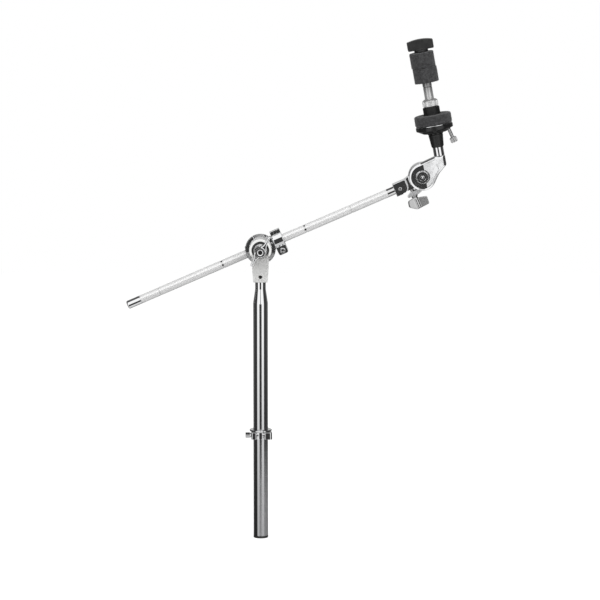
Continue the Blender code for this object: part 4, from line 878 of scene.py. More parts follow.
def post_finish():
    """Bright at the neck, darker and duller towards the foot, and rubbed grey on one side of the foot."""
    finish = chrome_finish("post_chrome", haze=0.04)
    x, _, z = finish.local(WORLD)
    bright = z.ramp(-60, 460)
    rubbed = x.ramp(-4, 1) * z.ramp(190, 10)
    worn = finish.grain(3, 3, stretch=(1, 1, 0.12)).ramp(0.35, 0.7)
    # the colour darkens towards the foot
    finish.colour(bright, (0.36, 0.36, 0.37), (0.93, 0.935, 0.94))
    finish.feed("Roughness", finish.rough + (1 - bright) * (0.07 + 0.08 * worn) + rubbed * 0.16)
    finish.feed("Metallic", 1 - rubbed * 0.5)
    return finish.look


piece("post", tube, post_finish(), "post_tube")
cap_high = corners_of("post_end_cap", WORLD)[1].z
cap = lathe(0, [(bore - 0.3, cap_high, 0.8), (bore - 0.3, low.z - 0.3, 0.1),
                (POST_RADIUS, low.z - 0.3, 0.3), (POST_RADIUS, 0, 1.0)], steps=128)
piece("foot_cap", cap, rubber, "post_end_cap")

# %% [markdown]
# The bracket is a zinc die casting: a flat tapered body over the neck and a round head that holds
# the brake disc. Boxes with bevels would leave hard seams where the forms meet. Shells that are
# melted together and then drilled have the soft inner corners of a casting and crisp bores.

# %% Bracket
HEAD = Matrix.Translation(pivot) @ FACING
foot_half, waist_half, back = 10.95, 12.6, 11.0
foot_y, waist_y = bracket_low.z - pivot.z / MM, -23.3
rim_inside, rim_outside, rim_slope = 13.4, 17.2, math.radians(17)
body = slab([(-foot_half, foot_y, 1.5), (foot_half, foot_y, 1.5), (waist_half, waist_y, 3),
             (-waist_half, waist_y, 3)], -back, back)
neck = slab([(-11.4, -39, 2), (11.4, -39, 2), (waist_half, waist_y, 2), (waist_half, -6),
             (-waist_half, -6), (-waist_half, waist_y, 2)], 0.5, back)
rim_drop = (rim_outside - rim_inside) * math.tan(rim_slope)
head = lathe(0, [(rim_inside, back), (rim_outside, back - rim_drop, 0.3), (rim_outside, 0.5, 1.0)],
             steps=128)
recess = lathe(0, [(13.6, 14), (rim_inside - 0.3, back - 0.4), (rim_inside, 7.6, 0.4)], steps=128)
socket = pin(8.35, -60, -26.0, spin(-90, "X"))
PIN_AT = shift(y=foot_y + 8)
pin_hole = pin(2.9, -14, 14, PIN_AT)
bolt_hole = pin(4.3, -4, 12)
bracket = cast([body, neck, head], [recess, socket, pin_hole, bolt_hole], grain=0.42, melt=3)
print("the casting has", len(bracket.polygons), "faces")


# %% Bracket finish
def bracket_finish():
    """Satin on the body and polish on the rim, with painted shade towards the head and in the recess."""
    finish = satin_finish("bracket_satin", tone=0.97, rough=0.45, size=0.7, metal=0.88)
    x, y, z = finish.local(HEAD)
    radius = (x * x + y * y).math("SQRT")
    rim = radius.ramp(rim_inside - 0.3, rim_inside) * z.ramp(4.0, 6.0)
    above_neck = x.size().ramp(waist_half - 0.2, waist_half + 0.4).math("MAXIMUM", y.ramp(-6.5, -5.5))
    polished, blasted = rim * above_neck, finish.grain(3.0).ramp(0.3, 0.7, 0.42, 0.5)
    finish.feed("Roughness", blasted * (1 - polished) + polished * 0.06)
    # painted shade on the upper wall of the recess, under its rim
    painted_recess_shade = radius.below(rim_inside + 0.15) * z.below(10.4) * z.above(5.0) * y.ramp(-9.0, -5.0)
    # painted shade: the body's colour darkens from its foot towards the head
    finish.colour(y.ramp(-46, -14), (1, 1, 0.99), (0.84, 0.84, 0.83))
    finish.paint_over(painted_recess_shade, (0.1, 0.1, 0.1))
    return finish.look


piece("bracket", bracket, bracket_finish(), "boom_bracket", HEAD)

# %% [markdown]
# The disc has a ground steel face that bites on a fibre lining, and a sleeve behind it that holds
# the rod. The sleeve is cast, but the disc is turned, so the two are made apart: a melted casting
# for the sleeve and saddle, and a lathe outline with its two index notches for the disc.

# %% Brake disc with its rod clamp
CLAMP = BOOM @ FACING
ROD = BOOM @ shift(y=ROD_Y / MM)
rod_z = -ROD_Y / MM
ROD_IN_CLAMP = shift(z=rod_z) @ ENDWAYS
DISC_BORE, ROD_WAY, EYE_WAY = 4.3, 6.65, 8.2
hidden_disc = pin(20, -8.7, -1.9, steps=128)
disc = lathe(DISC_BORE, [(22.3, -1.5, 0.3), (23, -2.3, 0.3), (23, -8.2, 0.6), (22.2, -9, 0.4)],
             steps=160)
SLEEVE_HALF = 21.6
sleeve = pin(11.5, -SLEEVE_HALF, SLEEVE_HALF, ROD_IN_CLAMP, 96, 1.4)
saddle = slab([(-16, -8, 3), (16, -8, 3), (16, 8, 3), (-16, 8, 3)], rod_z, -7)
slot = block((-4.9, -13, rod_z - 13), (4.9, 13, -7.2))
NOTCH_HALF, NOTCH_FLOOR = 0.65, -5.6
notches = [block((17.6, -NOTCH_HALF, NOTCH_FLOOR), (24, NOTCH_HALF, 0), spin(angle, "Z"))
           for angle in (49.0, 97.0)]
stud_turn, stud_out = math.radians(5.5), 19.6
stud_at = shift(stud_out * math.cos(stud_turn), stud_out * math.sin(stud_turn))
stud_hole = pin(1.6, NOTCH_FLOOR, 0, stud_at, 24)
liner_way, bolt_way = pin(EYE_WAY, -30, 30, ROD_IN_CLAMP, 96), pin(DISC_BORE, -9.5, 0)
clamp = cast([hidden_disc, sleeve, saddle], [liner_way, slot, bolt_way, stud_hole], grain=0.42)
clamp = merged([clamp, minus(disc, *notches, stud_hole)])
print("the disc and its clamp have", len(clamp.polygons), "faces")


# %% Disc finish and the small pieces of the brake
def disc_finish():
    """The face is lapped: bright where the lap ran, and hazy in the top and bottom of the ring."""
    finish = chrome_finish("lapped_disc_chrome", haze=0.07)
    x, y, z = finish.local(HEAD)
    angle = y.math("ARCTAN2", x)
    top = angle.sweep(70, 74) * angle.sweep(119, 115)
    foot = angle.sweep(-14, -18) * angle.sweep(-170, -166)
    hazy = top.math("MAXIMUM", foot) * z.above(-1.8)
    finish.feed("Roughness", finish.rough + hazy * 0.21)
    return finish.look


piece("brake_disc", clamp, disc_finish(), "brake_disc_clamp", CLAMP)
stud = turned([(0, -1.15), (1.3, -1.25, 0.5), (1.3, -5.3), (0, -5.3)], CLAMP @ stud_at, steps=32)
piece("disc_stud", stud, chrome, "brake_stud")
pad = band(DISC_BORE, 15.5, -1.3, 0.2, 0.3, HEAD)
piece("brake_lining", pad, lining, "brake_pad")
bracket_pin = pin(2.6, -9, 8.4, HEAD @ PIN_AT, 32, 0.5)
piece("bracket_rivet", bracket_pin, dark_steel, "bracket_pin")
liner = band(ROD_WAY, 7.9, -SLEEVE_HALF, SLEEVE_HALF, 0.3, ROD @ ENDWAYS)
piece("liner", liner, nylon, "clamp_liner")

# %% [markdown]
# The eye bolt is hidden, and does the work. Its eye goes round the rod inside the sleeve, and the
# wing nut pulls on its shank, so one nut locks the disc and the rod together. A washer's outline
# and a bolt's outline, melted together, are all it takes.

# %% Eye bolt
shank = lathe(0, [(2.6, 36.0), (3.0, 35.5), (3.0, 8.3, 0.2), (4.0, 8.3, 0.3), (4.0, rod_z + 9.4)],
              steps=48)
eye = band(EYE_WAY, 11.0, -4.6, 4.6, 1.0, ROD_IN_CLAMP)
bolt = cast([shank, eye], [pin(EYE_WAY, -6, 6, ROD_IN_CLAMP, 96)], grain=0.3, melt=2)
piece("eye_bolt", bolt, dark_steel, "clamp_eye_bolt", CLAMP)

# %% [markdown]
# The wing nut is the part a hand knows best. Its two wings sweep off the hub like an S and carry a
# bevel, which is what draws a bright line round them. A profile curve could be bevelled too, but an
# outline moved inwards point by point keeps the same bevel all the way round. The rim of the hub's
# mouth is worn by handling, so it mirrors less.

# %% Washer and wing nut
WASHER_HANGS, WING_LEANS = 1.25, 59.0     # millimetres, and degrees from upright
washer = lathe(4.3, [(8.6, 11.7, 1.0), (10.5, 10.4, 0.6), (11.1, 8.3, 0.3)],
               HEAD @ shift(y=-WASHER_HANGS))
piece("washer", washer, satin, "wing_nut_washer")
WING = CLAMP @ spin(WING_LEANS - math.degrees(math.asin(along.z)), "Z")
hub = lathe(0, [(6.8, 39.4, 0.8), (6.8, 21, 2), (8.4, 16, 2), (8.4, 12, 0.8)])
blade = [(0, -7.4), (6.0, -7.0, 5), (12.7, -3.8, 8), (18.6, -2.7, 8), (25.2, -2.4, 1.3),
         (25.2, 1.6, 1.3), (18, 0.9, 8), (12.5, 1.0, 8), (6.6, 3.2, 4), (3, 6.2, 3)]
BEVEL, BEVEL_DROP = 1.15, 0.5
wings = bevelled(blade + [(-x, -y, *r) for x, y, *r in blade], 18.5, 34.8, BEVEL, BEVEL_DROP)
wing_nut = cast([hub, wings], [pin(3.3, 11, 39), pin(3.4, 36, 42)], grain=0.35, melt=3)
lip = turned([(3.3, 38.85), (4.7, 39.95), (6.7, 39.95, 0.15), (7.2, 39.3, 0.2), (7.2, 36.6),
              (3.3, 36.6)], closed=True)
wing_nut = merged([wing_nut, lip])


def tip_mask(x, _, z):
    """One wing of the nut, whose face leans a little."""
    return x.ramp(-7, -8.5) * z.above(33)


wing_look = tilted_finish("wing_nut_chrome", WING, tip_mask, 1.4, 0.6)
x, y, z = wing_look.local(WING)
square_out = x * x + y * y
handled_rim = square_out.above(11) * square_out.below(23) * z.above(38.4)
wing_look.feed("Roughness", wing_look.rough + wing_look.mask * 0.13)
wing_look.feed("Metallic", 1 - handled_rim * 0.6)
piece("wing_nut", wing_nut, wing_look.look, "boom_wing_nut", WING)

# %% [markdown]
# The rod's surface follows a rule, sixteen shallow flutes round a tube, so Geometry Nodes draw it
# from five numbers. It is cut in sections at the turned joints, where cross pins hold the tubes
# together, and ends in a plain bright length that goes into the tilter.

# %% Boom rod
rod_low, rod_high = corners_of("boom_rod", ROD)
tip_low = corners_of("boom_rod_tip", ROD)[0]
ROD_RADIUS, ROD_BORE, GROOVE_RADIUS, BARE_RADIUS = 6.35, 4.85, 5.9, 6.3
FLUTES, FLUTE_DEPTH = 16, 0.17
grooves, groove_half, bare_from = (-166.5, -62.3, 73.9, 148.8), 0.9, 209.0
pin_joints, pin_leans, pin_radius = grooves[1:3], (-6.6, 56.0), 1.35
stops = [rod_low.x, *grooves, bare_from]
parts = []
for start, end in zip(stops, stops[1:]):
    a = start + (groove_half if start in grooves else 0)
    b = end - (groove_half if end in grooves else 0)
    bar = fluting.grow(Radius=ROD_RADIUS * MM, Depth=FLUTE_DEPTH * MM, Flutes=FLUTES,
                       Low=a * MM, High=b * MM, Look=steel)
    parts.append(minus(bar, pin(ROD_BORE, a - 1, b + 1)))
for groove in grooves:
    parts.append(band(ROD_BORE, GROOVE_RADIUS, groove - groove_half, groove + groove_half))
holes = [pin(pin_radius, 5.0, 9, shift(z=joint) @ spin(90 + leans, "Z") @ FACING, 24)
         for joint in pin_joints for leans in pin_leans]
parts = [minus(part, *holes) for part in parts]
parts.append(lathe(ROD_BORE, [(BARE_RADIUS, rod_high.x, 0.2), (BARE_RADIUS, bare_from, 0.3)]))
rod = merged(parts)
print("the rod has", len(parts), "sections")


# %% Rod finish and tip
ROD_TURN = (0, math.asin(along.z), 0)


def bar_finish():
    """Drawn tube: soft streaks, darker rings, painted shade in the pin holes, and a bright end for the tilter."""
    finish = satin_finish("fluted_bar_chrome", tone=0.77, rough=0.3, size=0.5, metal=0.5)
    along_rod, front, rise = finish.local(ROD)
    bare = along_rod.ramp(bare_from - 0.3, bare_from + 0.3)
    drawn = finish.grain(5, stretch=(0.1, 1, 1), turn=ROD_TURN)
    finish.feed("Roughness", drawn.ramp(0.3, 0.7, 0.26, 0.36) * (1 - bare) + bare * 0.05)
    finish.feed("Metallic", bare * 0.6 + 0.4)
    finish.bump(finish.grain(6, 2), 0.03, 0.15)
    for groove in grooves:
        in_groove = (along_rod - groove).size().ramp(groove_half + 0.3, groove_half - 0.3)
        finish.paint_over(in_groove * 0.25, (0.3, 0.3, 0.3))
    # painted shade: the pin holes are coloured near black, for the shade inside them
    for joint in pin_joints:
        for leans in pin_leans:
            turn = math.radians(leans)
            off, across = along_rod - joint, rise * math.cos(turn) + front * math.sin(turn)
            outer = rise * math.sin(turn) - front * math.cos(turn)
            finish.paint_over((off * off + across * across).below(2.3) * outer.above(0.0),
                         (0.02, 0.02, 0.02))
    return finish.look


piece("rod", rod, bar_finish(), "boom_rod", ROD @ ENDWAYS)
plug, shoulder = rod_low.x + 11, rod_low.x - 0.3
tip = lathe(0, [(4.55, plug, 0.5), (4.55, shoulder, 0.1), (ROD_RADIUS, shoulder, 0.3),
                (ROD_RADIUS, tip_low.x, 2.2)], ROD @ ENDWAYS)
piece("rod_tip", tip, chrome, "boom_rod_tip")

# %% [markdown]
# The boom lock remembers how far the rod goes in. It is a hinged pair of jaws with flat facets, a
# three-knuckle hinge above and a key bolt below. Both halves come from one loop, which swaps the
# side and the knuckles, because two drawings of the same jaw would soon differ. The edge nearest
# the disc is cut back, so that the lock clears the disc's rim when the rod rolls.

# %% Boom lock
LOCK = ROD @ shift(x=29.6) @ FACING
IN_LOCK = ENDWAYS
half, third, rise = 7.7, 15.4 / 6, 13.55
HINGE = shift(y=rise) @ IN_LOCK
KEY = shift(y=-16.5)
SPLIT, LEAF_BACK, EAR_BACK, SLACK = 0.6, 3.6, 5.8, 0.15
hinge_way, key_way = pin(1.8, -9, 9, HINGE, 24), pin(2.5, -9, 9, KEY, 24)
rod_way = pin(ROD_WAY, -9, 9, IN_LOCK, 96)
relief = minus(block((-half - 1, -9.0, 3.8), (-half + 1.2, 10.5, 14)),
               pin(9.3, -half - 2, half + 2, IN_LOCK, 96))
middle_knuckle, end_knuckles = [(-third, third)], [(-half, -third), (third, half)]
facets = [(6.5, 9.9, 0.4), (9.8, 4.2, 0.4), (9.8, -3.1, 0.4), (5.8, -9.3, 0.3)]
for name, side, spans, others in (("front", 1, middle_knuckle, end_knuckles),
                                  ("back", -1, end_knuckles, middle_knuckle)):
    barrel = slab(facets + [(-x, y, r) for x, y, r in reversed(facets)], -half, half, IN_LOCK)
    z = sorted((side * SPLIT, side * EAR_BACK))
    ear = slab([(-half, -6), (-half, -21.9, 3.2), (half, -21.9, 3.2), (half, -6)], *z)
    shells, knuckles = [barrel, ear], []
    for low_x, high_x in spans:
        a, b = max(low_x, -half + 0.01) + SLACK * (low_x > -half), high_x - SLACK * (high_x < half)
        knuckle = slab([(-3.6, -4.6, 0.6), (3.6, -4.6, 0.6), (3.6, 3.6, 1.0), (-3.6, 3.6, 1.0)], a, b,
                       HINGE)
        leaf_z = sorted((side * SPLIT, side * LEAF_BACK))
        shells.append(block((a, 7, leaf_z[0]), (b, rise, leaf_z[1])))
        knuckles.append(minus(knuckle, hinge_way))
    far = sorted((side * SPLIT, -side * 30))
    gaps = [block((a - SLACK, 9.65, -30), (b + SLACK, 40, 30)) for a, b in others]
    other_half = block((-9, -30, far[0]), (9, 9.3, far[1]))
    jaw = cast(shells, [other_half, relief, *gaps, rod_way, hinge_way, key_way], grain=0.3, melt=3)
    jaw = merged([jaw, *knuckles])
    piece(f"lock_{name}", jaw, chrome, f"boom_lock_{name}", LOCK)
hinge = pin(1.5, -half, half, LOCK @ HINGE, 32, 0.3)
piece("lock_hinge_pin", hinge, steel, "boom_lock_pin")
key = lathe(0, [(1.9, 7.3), (1.9, 9.7, 0.2), (4.0, 9.7, 0.7), (4.0, 6.1, 0.3), (2.2, 6.1),
                (2.2, -5.3, 0.3)], LOCK @ KEY, steps=48)
piece("lock_key_bolt", key, chrome, "boom_lock_key_bolt")

# %% [markdown]
# The tilter's body is one casting: a block that takes the rod, a neck, and a split ring whose ears
# are pulled together by the wing bolt. The slit is cut last, as on the real piece, and so are the
# bores, so that their edges stay sharp while everything else is soft.

# %% Tilter housing
thick = 9.75
socket = slab([(220.6, thick, 0.6), (220.6, -thick, 0.8), (241.2, -thick, 9.5), (241.2, thick, 1.2)],
              rod_z - thick, rod_z + thick)
ring_front, ring_back = -15.45, -31.95
between_faces = ring_back + 0.5, ring_front - 0.5
neck = slab([(235, 8.2), (238.2, -9.9), (251, -9.9), (251, 11), (250.3, 12.2)], *between_faces)
ear = slab([(234.3, -17.5, 0.6), (236.5, -19.5, 0.6), (252, -19.5, 1), (260.3, -16.5, 1), (253, -9.9),
            (246.3, -9.9)], *between_faces)
AT_RING = shift(267.3, 3.0)
ring = pin(21, ring_back, ring_front, AT_RING, 128, 1.2)
slit = block((231, -11.1, -40), (259, -8.7, 0))
UPWARDS = spin(-90, "X")
BOLT_ALONG = 244.8
bolt_hole = pin(3.3, -21, 0.9, shift(BOLT_ALONG, 0, -23.7) @ UPWARDS, 32)
screw_at = shift(229.25, -0.6)
ring_way, screw_hole = pin(16.3, -40, 0, AT_RING, 128), pin(3.1, -13, -7, screw_at, 32)
housing = cast([socket, neck, ear, ring],
               [ring_way, slit, pin(ROD_WAY, 219, 238.5, ROD_IN_CLAMP, 96), bolt_hole, screw_hole],
               grain=0.42, melt=6)


def ear_mask(x, y, z):
    """The face of the clamp ear under the slit."""
    return y.below(-12.6) * z.above(-17) * x.above(232)


housing_look = tilted_finish("tilter_chrome", CLAMP, ear_mask, 1.5, 0.5)
housing_look.feed("Roughness", housing_look.rough + housing_look.mask * 0.26)
piece("tilter_body", housing, housing_look.look, "tilter_housing", CLAMP)
screw = lathe(0, [(1.4, -9.0), (1.6, -8.25, 0.1), (2.8, -8.25, 0.5), (2.8, -11.8, 0.2)],
              CLAMP @ screw_at, steps=48)
piece("rod_screw", screw, chrome, "socket_screw")

# %% [markdown]
# The arm is shaped like a drop, with a bevelled rim, a groove inside it, and a round dish that is
# cut away on one side only. Its flat land isn't quite flat after polishing. A bump with a straight
# slope leans it by a few degrees, which is enough to turn it from dark to bright. The upper bevel
# has a painted reflection: its colour is darkened for the dark corner of a room that it would mirror.

# %% Tilter arm
ARM = TILTER @ FACING
outline = arc(20.4, 107, 325, 60) + [(25.9, 1.5, 30), (38.75, 12.5, 2.5), (38.75, 27, 0.8),
                                     (22.25, 27, 0.8)]
blank = bevelled(outline, -15.15, -1.15, 3.0, 1.5)
ARM_BORE, DISH_FLOOR = 4.3, -3.65
groove = minus(slab(clear_inset(outline, 3.2), -1.9, 2, has_radii=False),
               slab(clear_inset(outline, 4.4), -3, 3, has_radii=False),
               block((-40, -40, -5), (5.5, 40, 5)))
end_bevel = block((-6, -40, -5), (6, 40, 5), shift(x=41.2, z=-0.4) @ spin(45, "Y"))
dish = minus(pin(17.3, DISH_FLOOR, 2, steps=128), block((4.3, -30, -5), (40, 30, 5)))
moat = pin(11.4, DISH_FLOOR, 2, steps=96)
stem_hole = pin(5.3, 15.7, 28, shift(x=30.5, z=-8.15) @ UPWARDS, 48)
arm = cast([blank], [dish, moat, groove, end_bevel, pin(ARM_BORE, -20, 2), stem_hole], grain=0.42,
           melt=3)
boss = lathe(ARM_BORE, [(10.0, -1.95, 0.3), (10.0, -4.5)])
arm = merged([arm, boss])
print("the arm has", len(arm.polygons), "faces")


def land_mask(x, y, z):
    """The flat land of the arm, outside its dish."""
    return x.above(4.2) * (x * x + y * y).above(130) * z.above(-1.5)


arm_look = tilted_finish("tilter_arm_chrome", ARM, land_mask, 4.5, 4.5)
x, y, _ = arm_look.local(ARM)
fade, cloud = x.ramp(3, 24, 0.26, 0.1), arm_look.grain(7, 2).ramp(0.4, 0.65, 0.0, 0.14)
arm_look.feed("Roughness", arm_look.rough + arm_look.mask * (fade + cloud))
# painted reflection: the upper bevel is darkened for the dark corner of the room it would mirror
painted_bevel_reflection = (y - x * 0.266).above(19.0) * x.above(0.5) * x.below(23.0)
arm_look.paint_over(painted_bevel_reflection, (0.1, 0.1, 0.1))
piece("arm", arm, arm_look.look, "tilter_arm", ARM)
head = lathe(0, [(5.4, -0.25), (5.4, 1.55, 0.08), (9.2, 1.55, 0.7), (9.0, -1.65, 0.3), (4.0, -1.65),
                 (4.0, -34.95), (7.0, -34.95, 0.2), (7.0, -35.95, 0.6), (5.5, -36.95, 0.5)], ARM)
piece("centre_bolt", head, chrome, "tilter_centre_bolt")
key_screw = turned([(0, 1.9), (0.6, 1.8), (1.8, 0.8), (2.8, 0.8, 0.3), (2.8, 0.05, 0.1), (0, 0.05)],
                   ARM, steps=48)
piece("centre_key_screw", key_screw, chrome, "tilter_key_screw")

# %% Drum and back cover
drum = band(ARM_BORE, 16.0, -32.25, -15.45, 0.4, ARM)
piece("drum", drum, steel, "tilter_drum")
cover = lathe(ARM_BORE, [(19.0, -32.55, 0.7), (19.0, -34.95, 0.9)], ARM)
piece("back_cover", cover, chrome, "tilter_back_cover")

# %% [markdown]
# The stem screws into the arm and carries the seat. A ribbed sleeve grips it below the cup. The
# ribs repeat round the axis, so one rib goes through the tree for forms round an axis, and the
# sleeve itself is turned.

# %% Seat stack
stem_top = heights_of("seat_stem")[1]
foot, step = heights_of("seat_sleeve")
stem = lathe(0, [(4, stem_top, 0.7), (4, step, 0.3), (7.95, step, 0.3), (7.95, 27.3, 0.3), (5, 27.3),
                 (5, 16.0, 0.4)], STACK)
piece("stem", stem, chrome, "seat_stem")
sleeve = lathe(8.25, [(10.9, step, 0.8), (10.9, step - 3.5, 0.6), (10.0, step - 4.1, 0.4),
                      (8.9, foot + 1, 0.6), (8.3, foot, 0.2)])
RIBS, RIB_HALF = 10, 0.55
rib = slab([(8.6, foot + 1.2), (9.3, foot + 1.2, 0.3), (10.62, step - 3.8), (8.6, step - 3.8)],
           -RIB_HALF, RIB_HALF, FACING)
sleeve = merged([sleeve, ring_of(rib, RIBS, black)])
piece("sleeve", sleeve, black, "seat_sleeve", STACK)

# %% [markdown]
# The cup is a black enamelled pressing with a slanted hole for the tilt screw, and a thin bright
# plate lies on it under the felt. Both are turned. The hole is drilled along the screw's own axis.

# %% Cup and plate
BORE, SCREW_OUT, SCREW_LEANS = 4.3, 18.6, -14.3
bottom, brim = heights_of("seat_cup")
cup = lathe(BORE, [(25.4, brim - 3.5, 0.4), (25.4, brim, 0.3), (28, brim, 0.8), (28, brim - 5.6, 1.2),
                   (25.5, brim - 6.6, 1.5), (18, brim - 11, 2.5), (11.5, brim - 11.4, 0.6),
                   (11.5, bottom, 0.3)], steps=128)
slant = STACK @ shift(SCREW_OUT, 0, brim) @ spin(SCREW_LEANS, "Y")
cup = minus(cup, pin(3.1, -24, 3, STACK.inverted() @ slant, 48))
piece("cup", cup, gloss_black, "seat_cup", STACK)
plate = band(14.1, 27.2, *heights_of("seat_plate"), 0.5, STACK, 128)
piece("plate", plate, chrome, "seat_plate")

# %% [markdown]
# The felts are washers punched from hard pressed wool. Nothing in them is sewn or stuffed, so a
# cloth simulation would only soften what is really crisp: a turned outline with worn edges is the
# right form. Geometry Nodes then plant short bent hairs over the skin, from a fixed seed.

# %% Felt washers and their hairs
HAIRS_PER_M2, HAIR_LENGTH, HAIR_RADIUS = 5.5e5, 1.0 * MM, 0.035 * MM
felts = ("seat_felt", "clutch_felt_lower", "clutch_felt_upper")


def felt_washer(name, node, hole, radius, edge, off_axis=0.0):
    """A washer whose upper edge is more worn than the lower, slipped a little off the axis."""
    low, high = heights_of(node)
    mesh = turned([(hole, high, 0.6), (radius, high, edge), (radius, low, edge * 0.6),
                   (hole, low, 0.6)], STACK @ shift(off_axis), closed=True, steps=128, arc_steps=6)
    return piece(name, mesh, felt, node)


pads = [felt_washer("seat_pad", felts[0], 14.1, 27.8, 2.6),
        felt_washer("lower_pad", felts[1], 6.0, 18.2, 1.4, 0.5),
        felt_washer("upper_pad", felts[2], 6.0, 18.2, 1.4, -0.5)]
for seed, (pad, node) in enumerate(zip(pads, felts)):
    low, high = extent(node, STACK)
    centre = STACK @ Vector((0, 0, (low.z + high.z) / 2))
    grown = hairy.grow(Form=pad, Density=HAIRS_PER_M2, Length=HAIR_LENGTH, Thickness=HAIR_RADIUS,
                       Centre=tuple(centre), Seed=seed + 1, Look=felt_hair)
    hairs = show(grown, f"{pad.name}_hairs")
    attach(hairs, BODY_OF[node])
    print(hairs.name, len(hairs.data.polygons), "faces")

# %% [markdown]
# Above the seat come the bushing, a knurled nut, the threaded tube that carries the upper felts,
# and its collar. The nut's ridges and the tube's thread are grown by the trees. The tube has two
# milled strips, where a key holds it, and a lathe outline can't have those, so they are cut. Its
# colour darkens towards the felts, as painted shade under them.

# %% Bushing, nut, tube and collar
low, high = heights_of("cymbal_bushing")
bushing = lathe(BORE, [(12.6, high, 1.0), (12.6, low, 0.8)], STACK)
piece("bushing", bushing, bushing_black, "cymbal_bushing")
low, high = heights_of("clutch_nut")
NUT_RIDGES, TUBE_PITCH = 60, 1.1
nut = lathe(7.3, [(8.6, high, 0.3), (11.3, high - 2.2, 0.4), (11.3, low + 1.3, 0.3), (10.2, low, 0.3)])
ridge = turned([(0, high - 2.4), (0.42, high - 2.6), (0.42, low + 1.5), (0, low + 1.3)], shift(11.28),
               steps=4)
nut = merged([nut, ring_of(ridge, NUT_RIDGES, chrome)])
piece("nut", nut, nut_satin, "clutch_nut", STACK)
low, high = heights_of("clutch_tube")
core = lathe(0, [(6.45, high, 0.4), (6.45, low, 0.3)])
strips = [minus(block((-3.4, a, 114.1), (3.4, b, 140)), pin(6.47, 110, 145, steps=128))
          for a, b in ((-9, -4), (4, 9))]
tube = cast([core, thread(7.0, TUBE_PITCH, low + 0.5, high - 0.8)],
            [*strips, pin(BORE, low - 1, high + 1)], grain=0.2, melt=1)
tube_look = satin_finish("tube_plating", tone=0.7, rough=0.34, size=0.9, metal=0.7)
height = tube_look.local(STACK)[2]
# painted shade: the tube's colour darkens towards the felts above it
tube_look.colour(height.ramp(118, 138), (0.66, 0.66, 0.66), (0.3, 0.3, 0.3))
piece("threaded_tube", tube, tube_look.look, "clutch_tube", STACK)
low, high = heights_of("clutch_collar")
collar = lathe(BORE, [(5.2, high, 0.2), (5.2, low + 6.4, 0.2), (6.9, low + 6.4, 0.5), (6.9, low, 0.8)],
               STACK)
piece("collar", collar, tube_look.look, "clutch_collar")

# %% [markdown]
# The top nut is moulded plastic: a bar with a crowned back, on a short neck. The crown is one
# long arc, found from the bar's half width and the crown's height, and the parts melt into one
# soft moulding.

# %% Top wing nut
low, high = heights_of("clutch_wing_nut")
half = corners_of("clutch_wing_nut", STACK)[1].x
crown, bar_half = 2.8, 7.5
crown_radius = (half ** 2 + crown ** 2) / (2 * crown)
spread = math.degrees(math.asin(half / crown_radius))
neck = lathe(0, [(7.3, low + 9), (7.6, low + 4.6, 1.0), (10.4, low + 3.4, 1.0), (10.6, low, 0.8)])
back = arc(crown_radius, 90 - spread * 0.93, 90 + spread * 0.93, 12, 0, high - crown_radius)
bar = slab([(half, low + 3.6, 2.0), (half, high - crown, 1.0), *back, (-half, high - crown, 1.0),
            (-half, low + 3.6, 2.0)], -bar_half, bar_half, FACING)
knob = cast([neck, bar], [pin(BORE, low - 1, high - 4)], grain=0.42, melt=7)
piece("top_wing_nut", knob, black, "clutch_wing_nut", STACK)

# %% [markdown]
# A thumbscrew through the slanted hole in the cup tips the plate, and with it the lower cymbal of
# a closed pair, so that air doesn't lock the two together. Its head is knurled by the same tree
# that makes the ribs, and its thread is wound.

# %% Tilt screw
shank = lathe(0, [(1.5, -0.55, 0.3), (2.3, -1.6), (2.3, -24.1)], steps=32)
wound = thread(2.8, 1.1, -23.0, -2.0)
KNURLS, HEAD_RADIUS = 36, 4.95
head = lathe(0, [(HEAD_RADIUS, -23.2, 0.7), (HEAD_RADIUS, -31.1, 0.8)], steps=64)
knurl = turned([(0, -24.0), (0.38, -24.2), (0.38, -30.1), (0, -30.3)], shift(HEAD_RADIUS), steps=4)
tilt_screw = merged([shank, wound, head, ring_of(knurl, KNURLS, chrome)])
piece("tilt_screw", tilt_screw, screw_plating, "seat_tilt_screw", slant)

# %% [markdown]
# The wing bolt pulls the tilter's ears together. It is cast in a rougher finish than the rest, which
# handling has polished on the hub, and its wings are splayed to clear the ring. Each wing is drawn
# as its own outline, turned about the bolt by its own angle, and melted onto the hub.

# %% Tilter wing bolt
BOLT = BOOM @ shift(BOLT_ALONG, -ring_front + 8.25)
seat = -19.8
hub = lathe(0, [(5.2, seat - 0.05, 0.4), (5.2, seat - 1.4, 0.4), (3.6, seat - 3.2, 0.5),
                (4.3, seat - 5.2, 0.8), (4.3, seat - 20.9, 1.2)])
top, lobe_half, turned_by = seat - 3.8, 2.8, 8
wings = []
left_lobe = [(0, 0.4, 1), (-3.9, 0.6, 1), (-12.3, -0.5, 3), (-14.6, -9.6, 3.5), (-4.4, -17.3, 2),
             (0, -17.3, 1)]
right_lobe = [(0, -0.4, 1), (3.9, -0.9, 1), (17.2, -4.6, 1.5), (16.4, -16.2, 1.5), (0, -17.3, 1)]
for edge, splay in ((left_lobe, 10), (right_lobe, -6)):
    edge = [(x, top + y, r) for x, y, r in edge]
    wings.append(slab(edge, -lobe_half, lobe_half, spin(turned_by + splay, "Z") @ FACING))
wing_bolt = cast([hub, *wings], grain=0.35, melt=6)
shaft = lathe(0, [(2.6, 0.6, 0.3), (2.6, seat - 0.5)], steps=32)
wing_bolt = merged([wing_bolt, shaft, thread(3.0, 1.0, seat, 0.2)])
bolt_look = satin_finish("hazy_cast_chrome", tone=0.55, rough=0.28, size=0.8)
handled = bolt_look.local(BOLT)[0].size().ramp(5.4, 4.4)
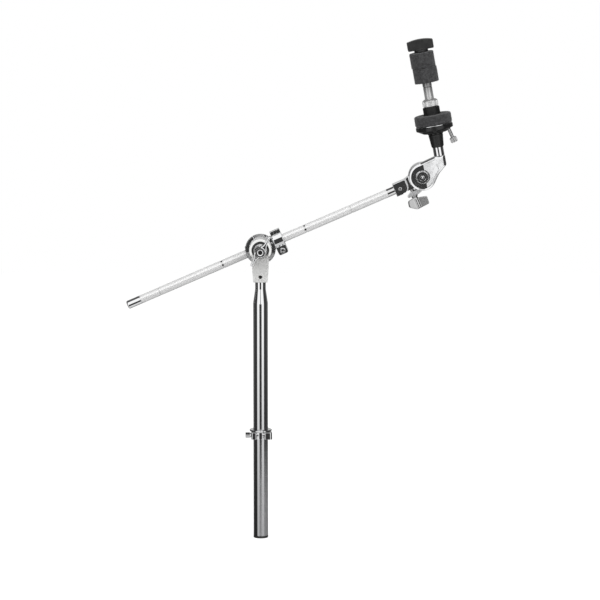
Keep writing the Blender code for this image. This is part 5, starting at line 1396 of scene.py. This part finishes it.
cloud = bolt_look.grain(0.8, 3).ramp(0.3, 0.7, 0.24, 0.33)
bolt_look.feed("Roughness", cloud - handled * 0.18)
piece("tilter_bolt", wing_bolt, bolt_look.look, "tilter_wing_bolt", BOLT)

# %% [markdown]
# The memory lock clamps round the post and rests on the rim of the base tube, so the stand always
# goes back to the same height. It is a split collar with two lugs and a square-headed key bolt
# across them. The lugs have a round niche between them, which is part of their outline.

# %% Memory lock
lock_pos = Vector(JOINTS["memory_lock_bolt_turn"]["pos_m"])
COLLAR = Matrix.Translation((0, 0, lock_pos.z))
bolt_y = lock_pos.y / MM
flat, lug_top, lug_out = 6.5, 4.3, bolt_y - 4.5
collar = lathe(0, [(16.8, flat, 0.7), (16.8, lug_top, 0.7), (14.2, 2.1, 0.8), (14.2, -flat, 0.7)])
niche = arc(14.0, -115, -65, 16, 0, -4.7)
lugs = slab([(-14, -8.6), (-14, lug_out, 2), (-6.8, lug_out, 0.8), (-6.3, -16.8), *niche, (6.3, -16.8),
             (6.8, lug_out, 0.8), (17.5, lug_out, 3.4), (17.5, -8.6)], -flat, lug_top)
bolt_way = pin(2.8, -15, 15.5, shift(y=bolt_y) @ ENDWAYS, 32)
split = block((3.4, bolt_y - 6, -9), (4.6, 0, 9))
post_way = pin(11.4125, -9, 9, steps=128)
memory = cast([collar, lugs], [post_way, split, bolt_way], grain=0.38, melt=4)
lock_chrome = chrome_finish("memory_lock_chrome", haze=0.1, tone=0.7).look
piece("memory_collar", memory, lock_chrome, "memory_lock_collar", COLLAR)
screw = lathe(0, [(2.5, 15.2, 0.4), (2.5, -14.3), (4.2, -14.3, 0.3), (3.2, -16.9, 0.3)], ENDWAYS,
              steps=48)
key_half = 3.2
square = slab([(x * key_half, y * key_half, 0.7) for x, y in ((-1, -1), (1, -1), (1, 1), (-1, 1))],
              -22.9, -16.4, spin(30, "X") @ ENDWAYS)
screw = cast([screw, square], grain=0.25, melt=2)
piece("memory_bolt", screw, lock_chrome, "memory_lock_bolt", Matrix.Translation(lock_pos))
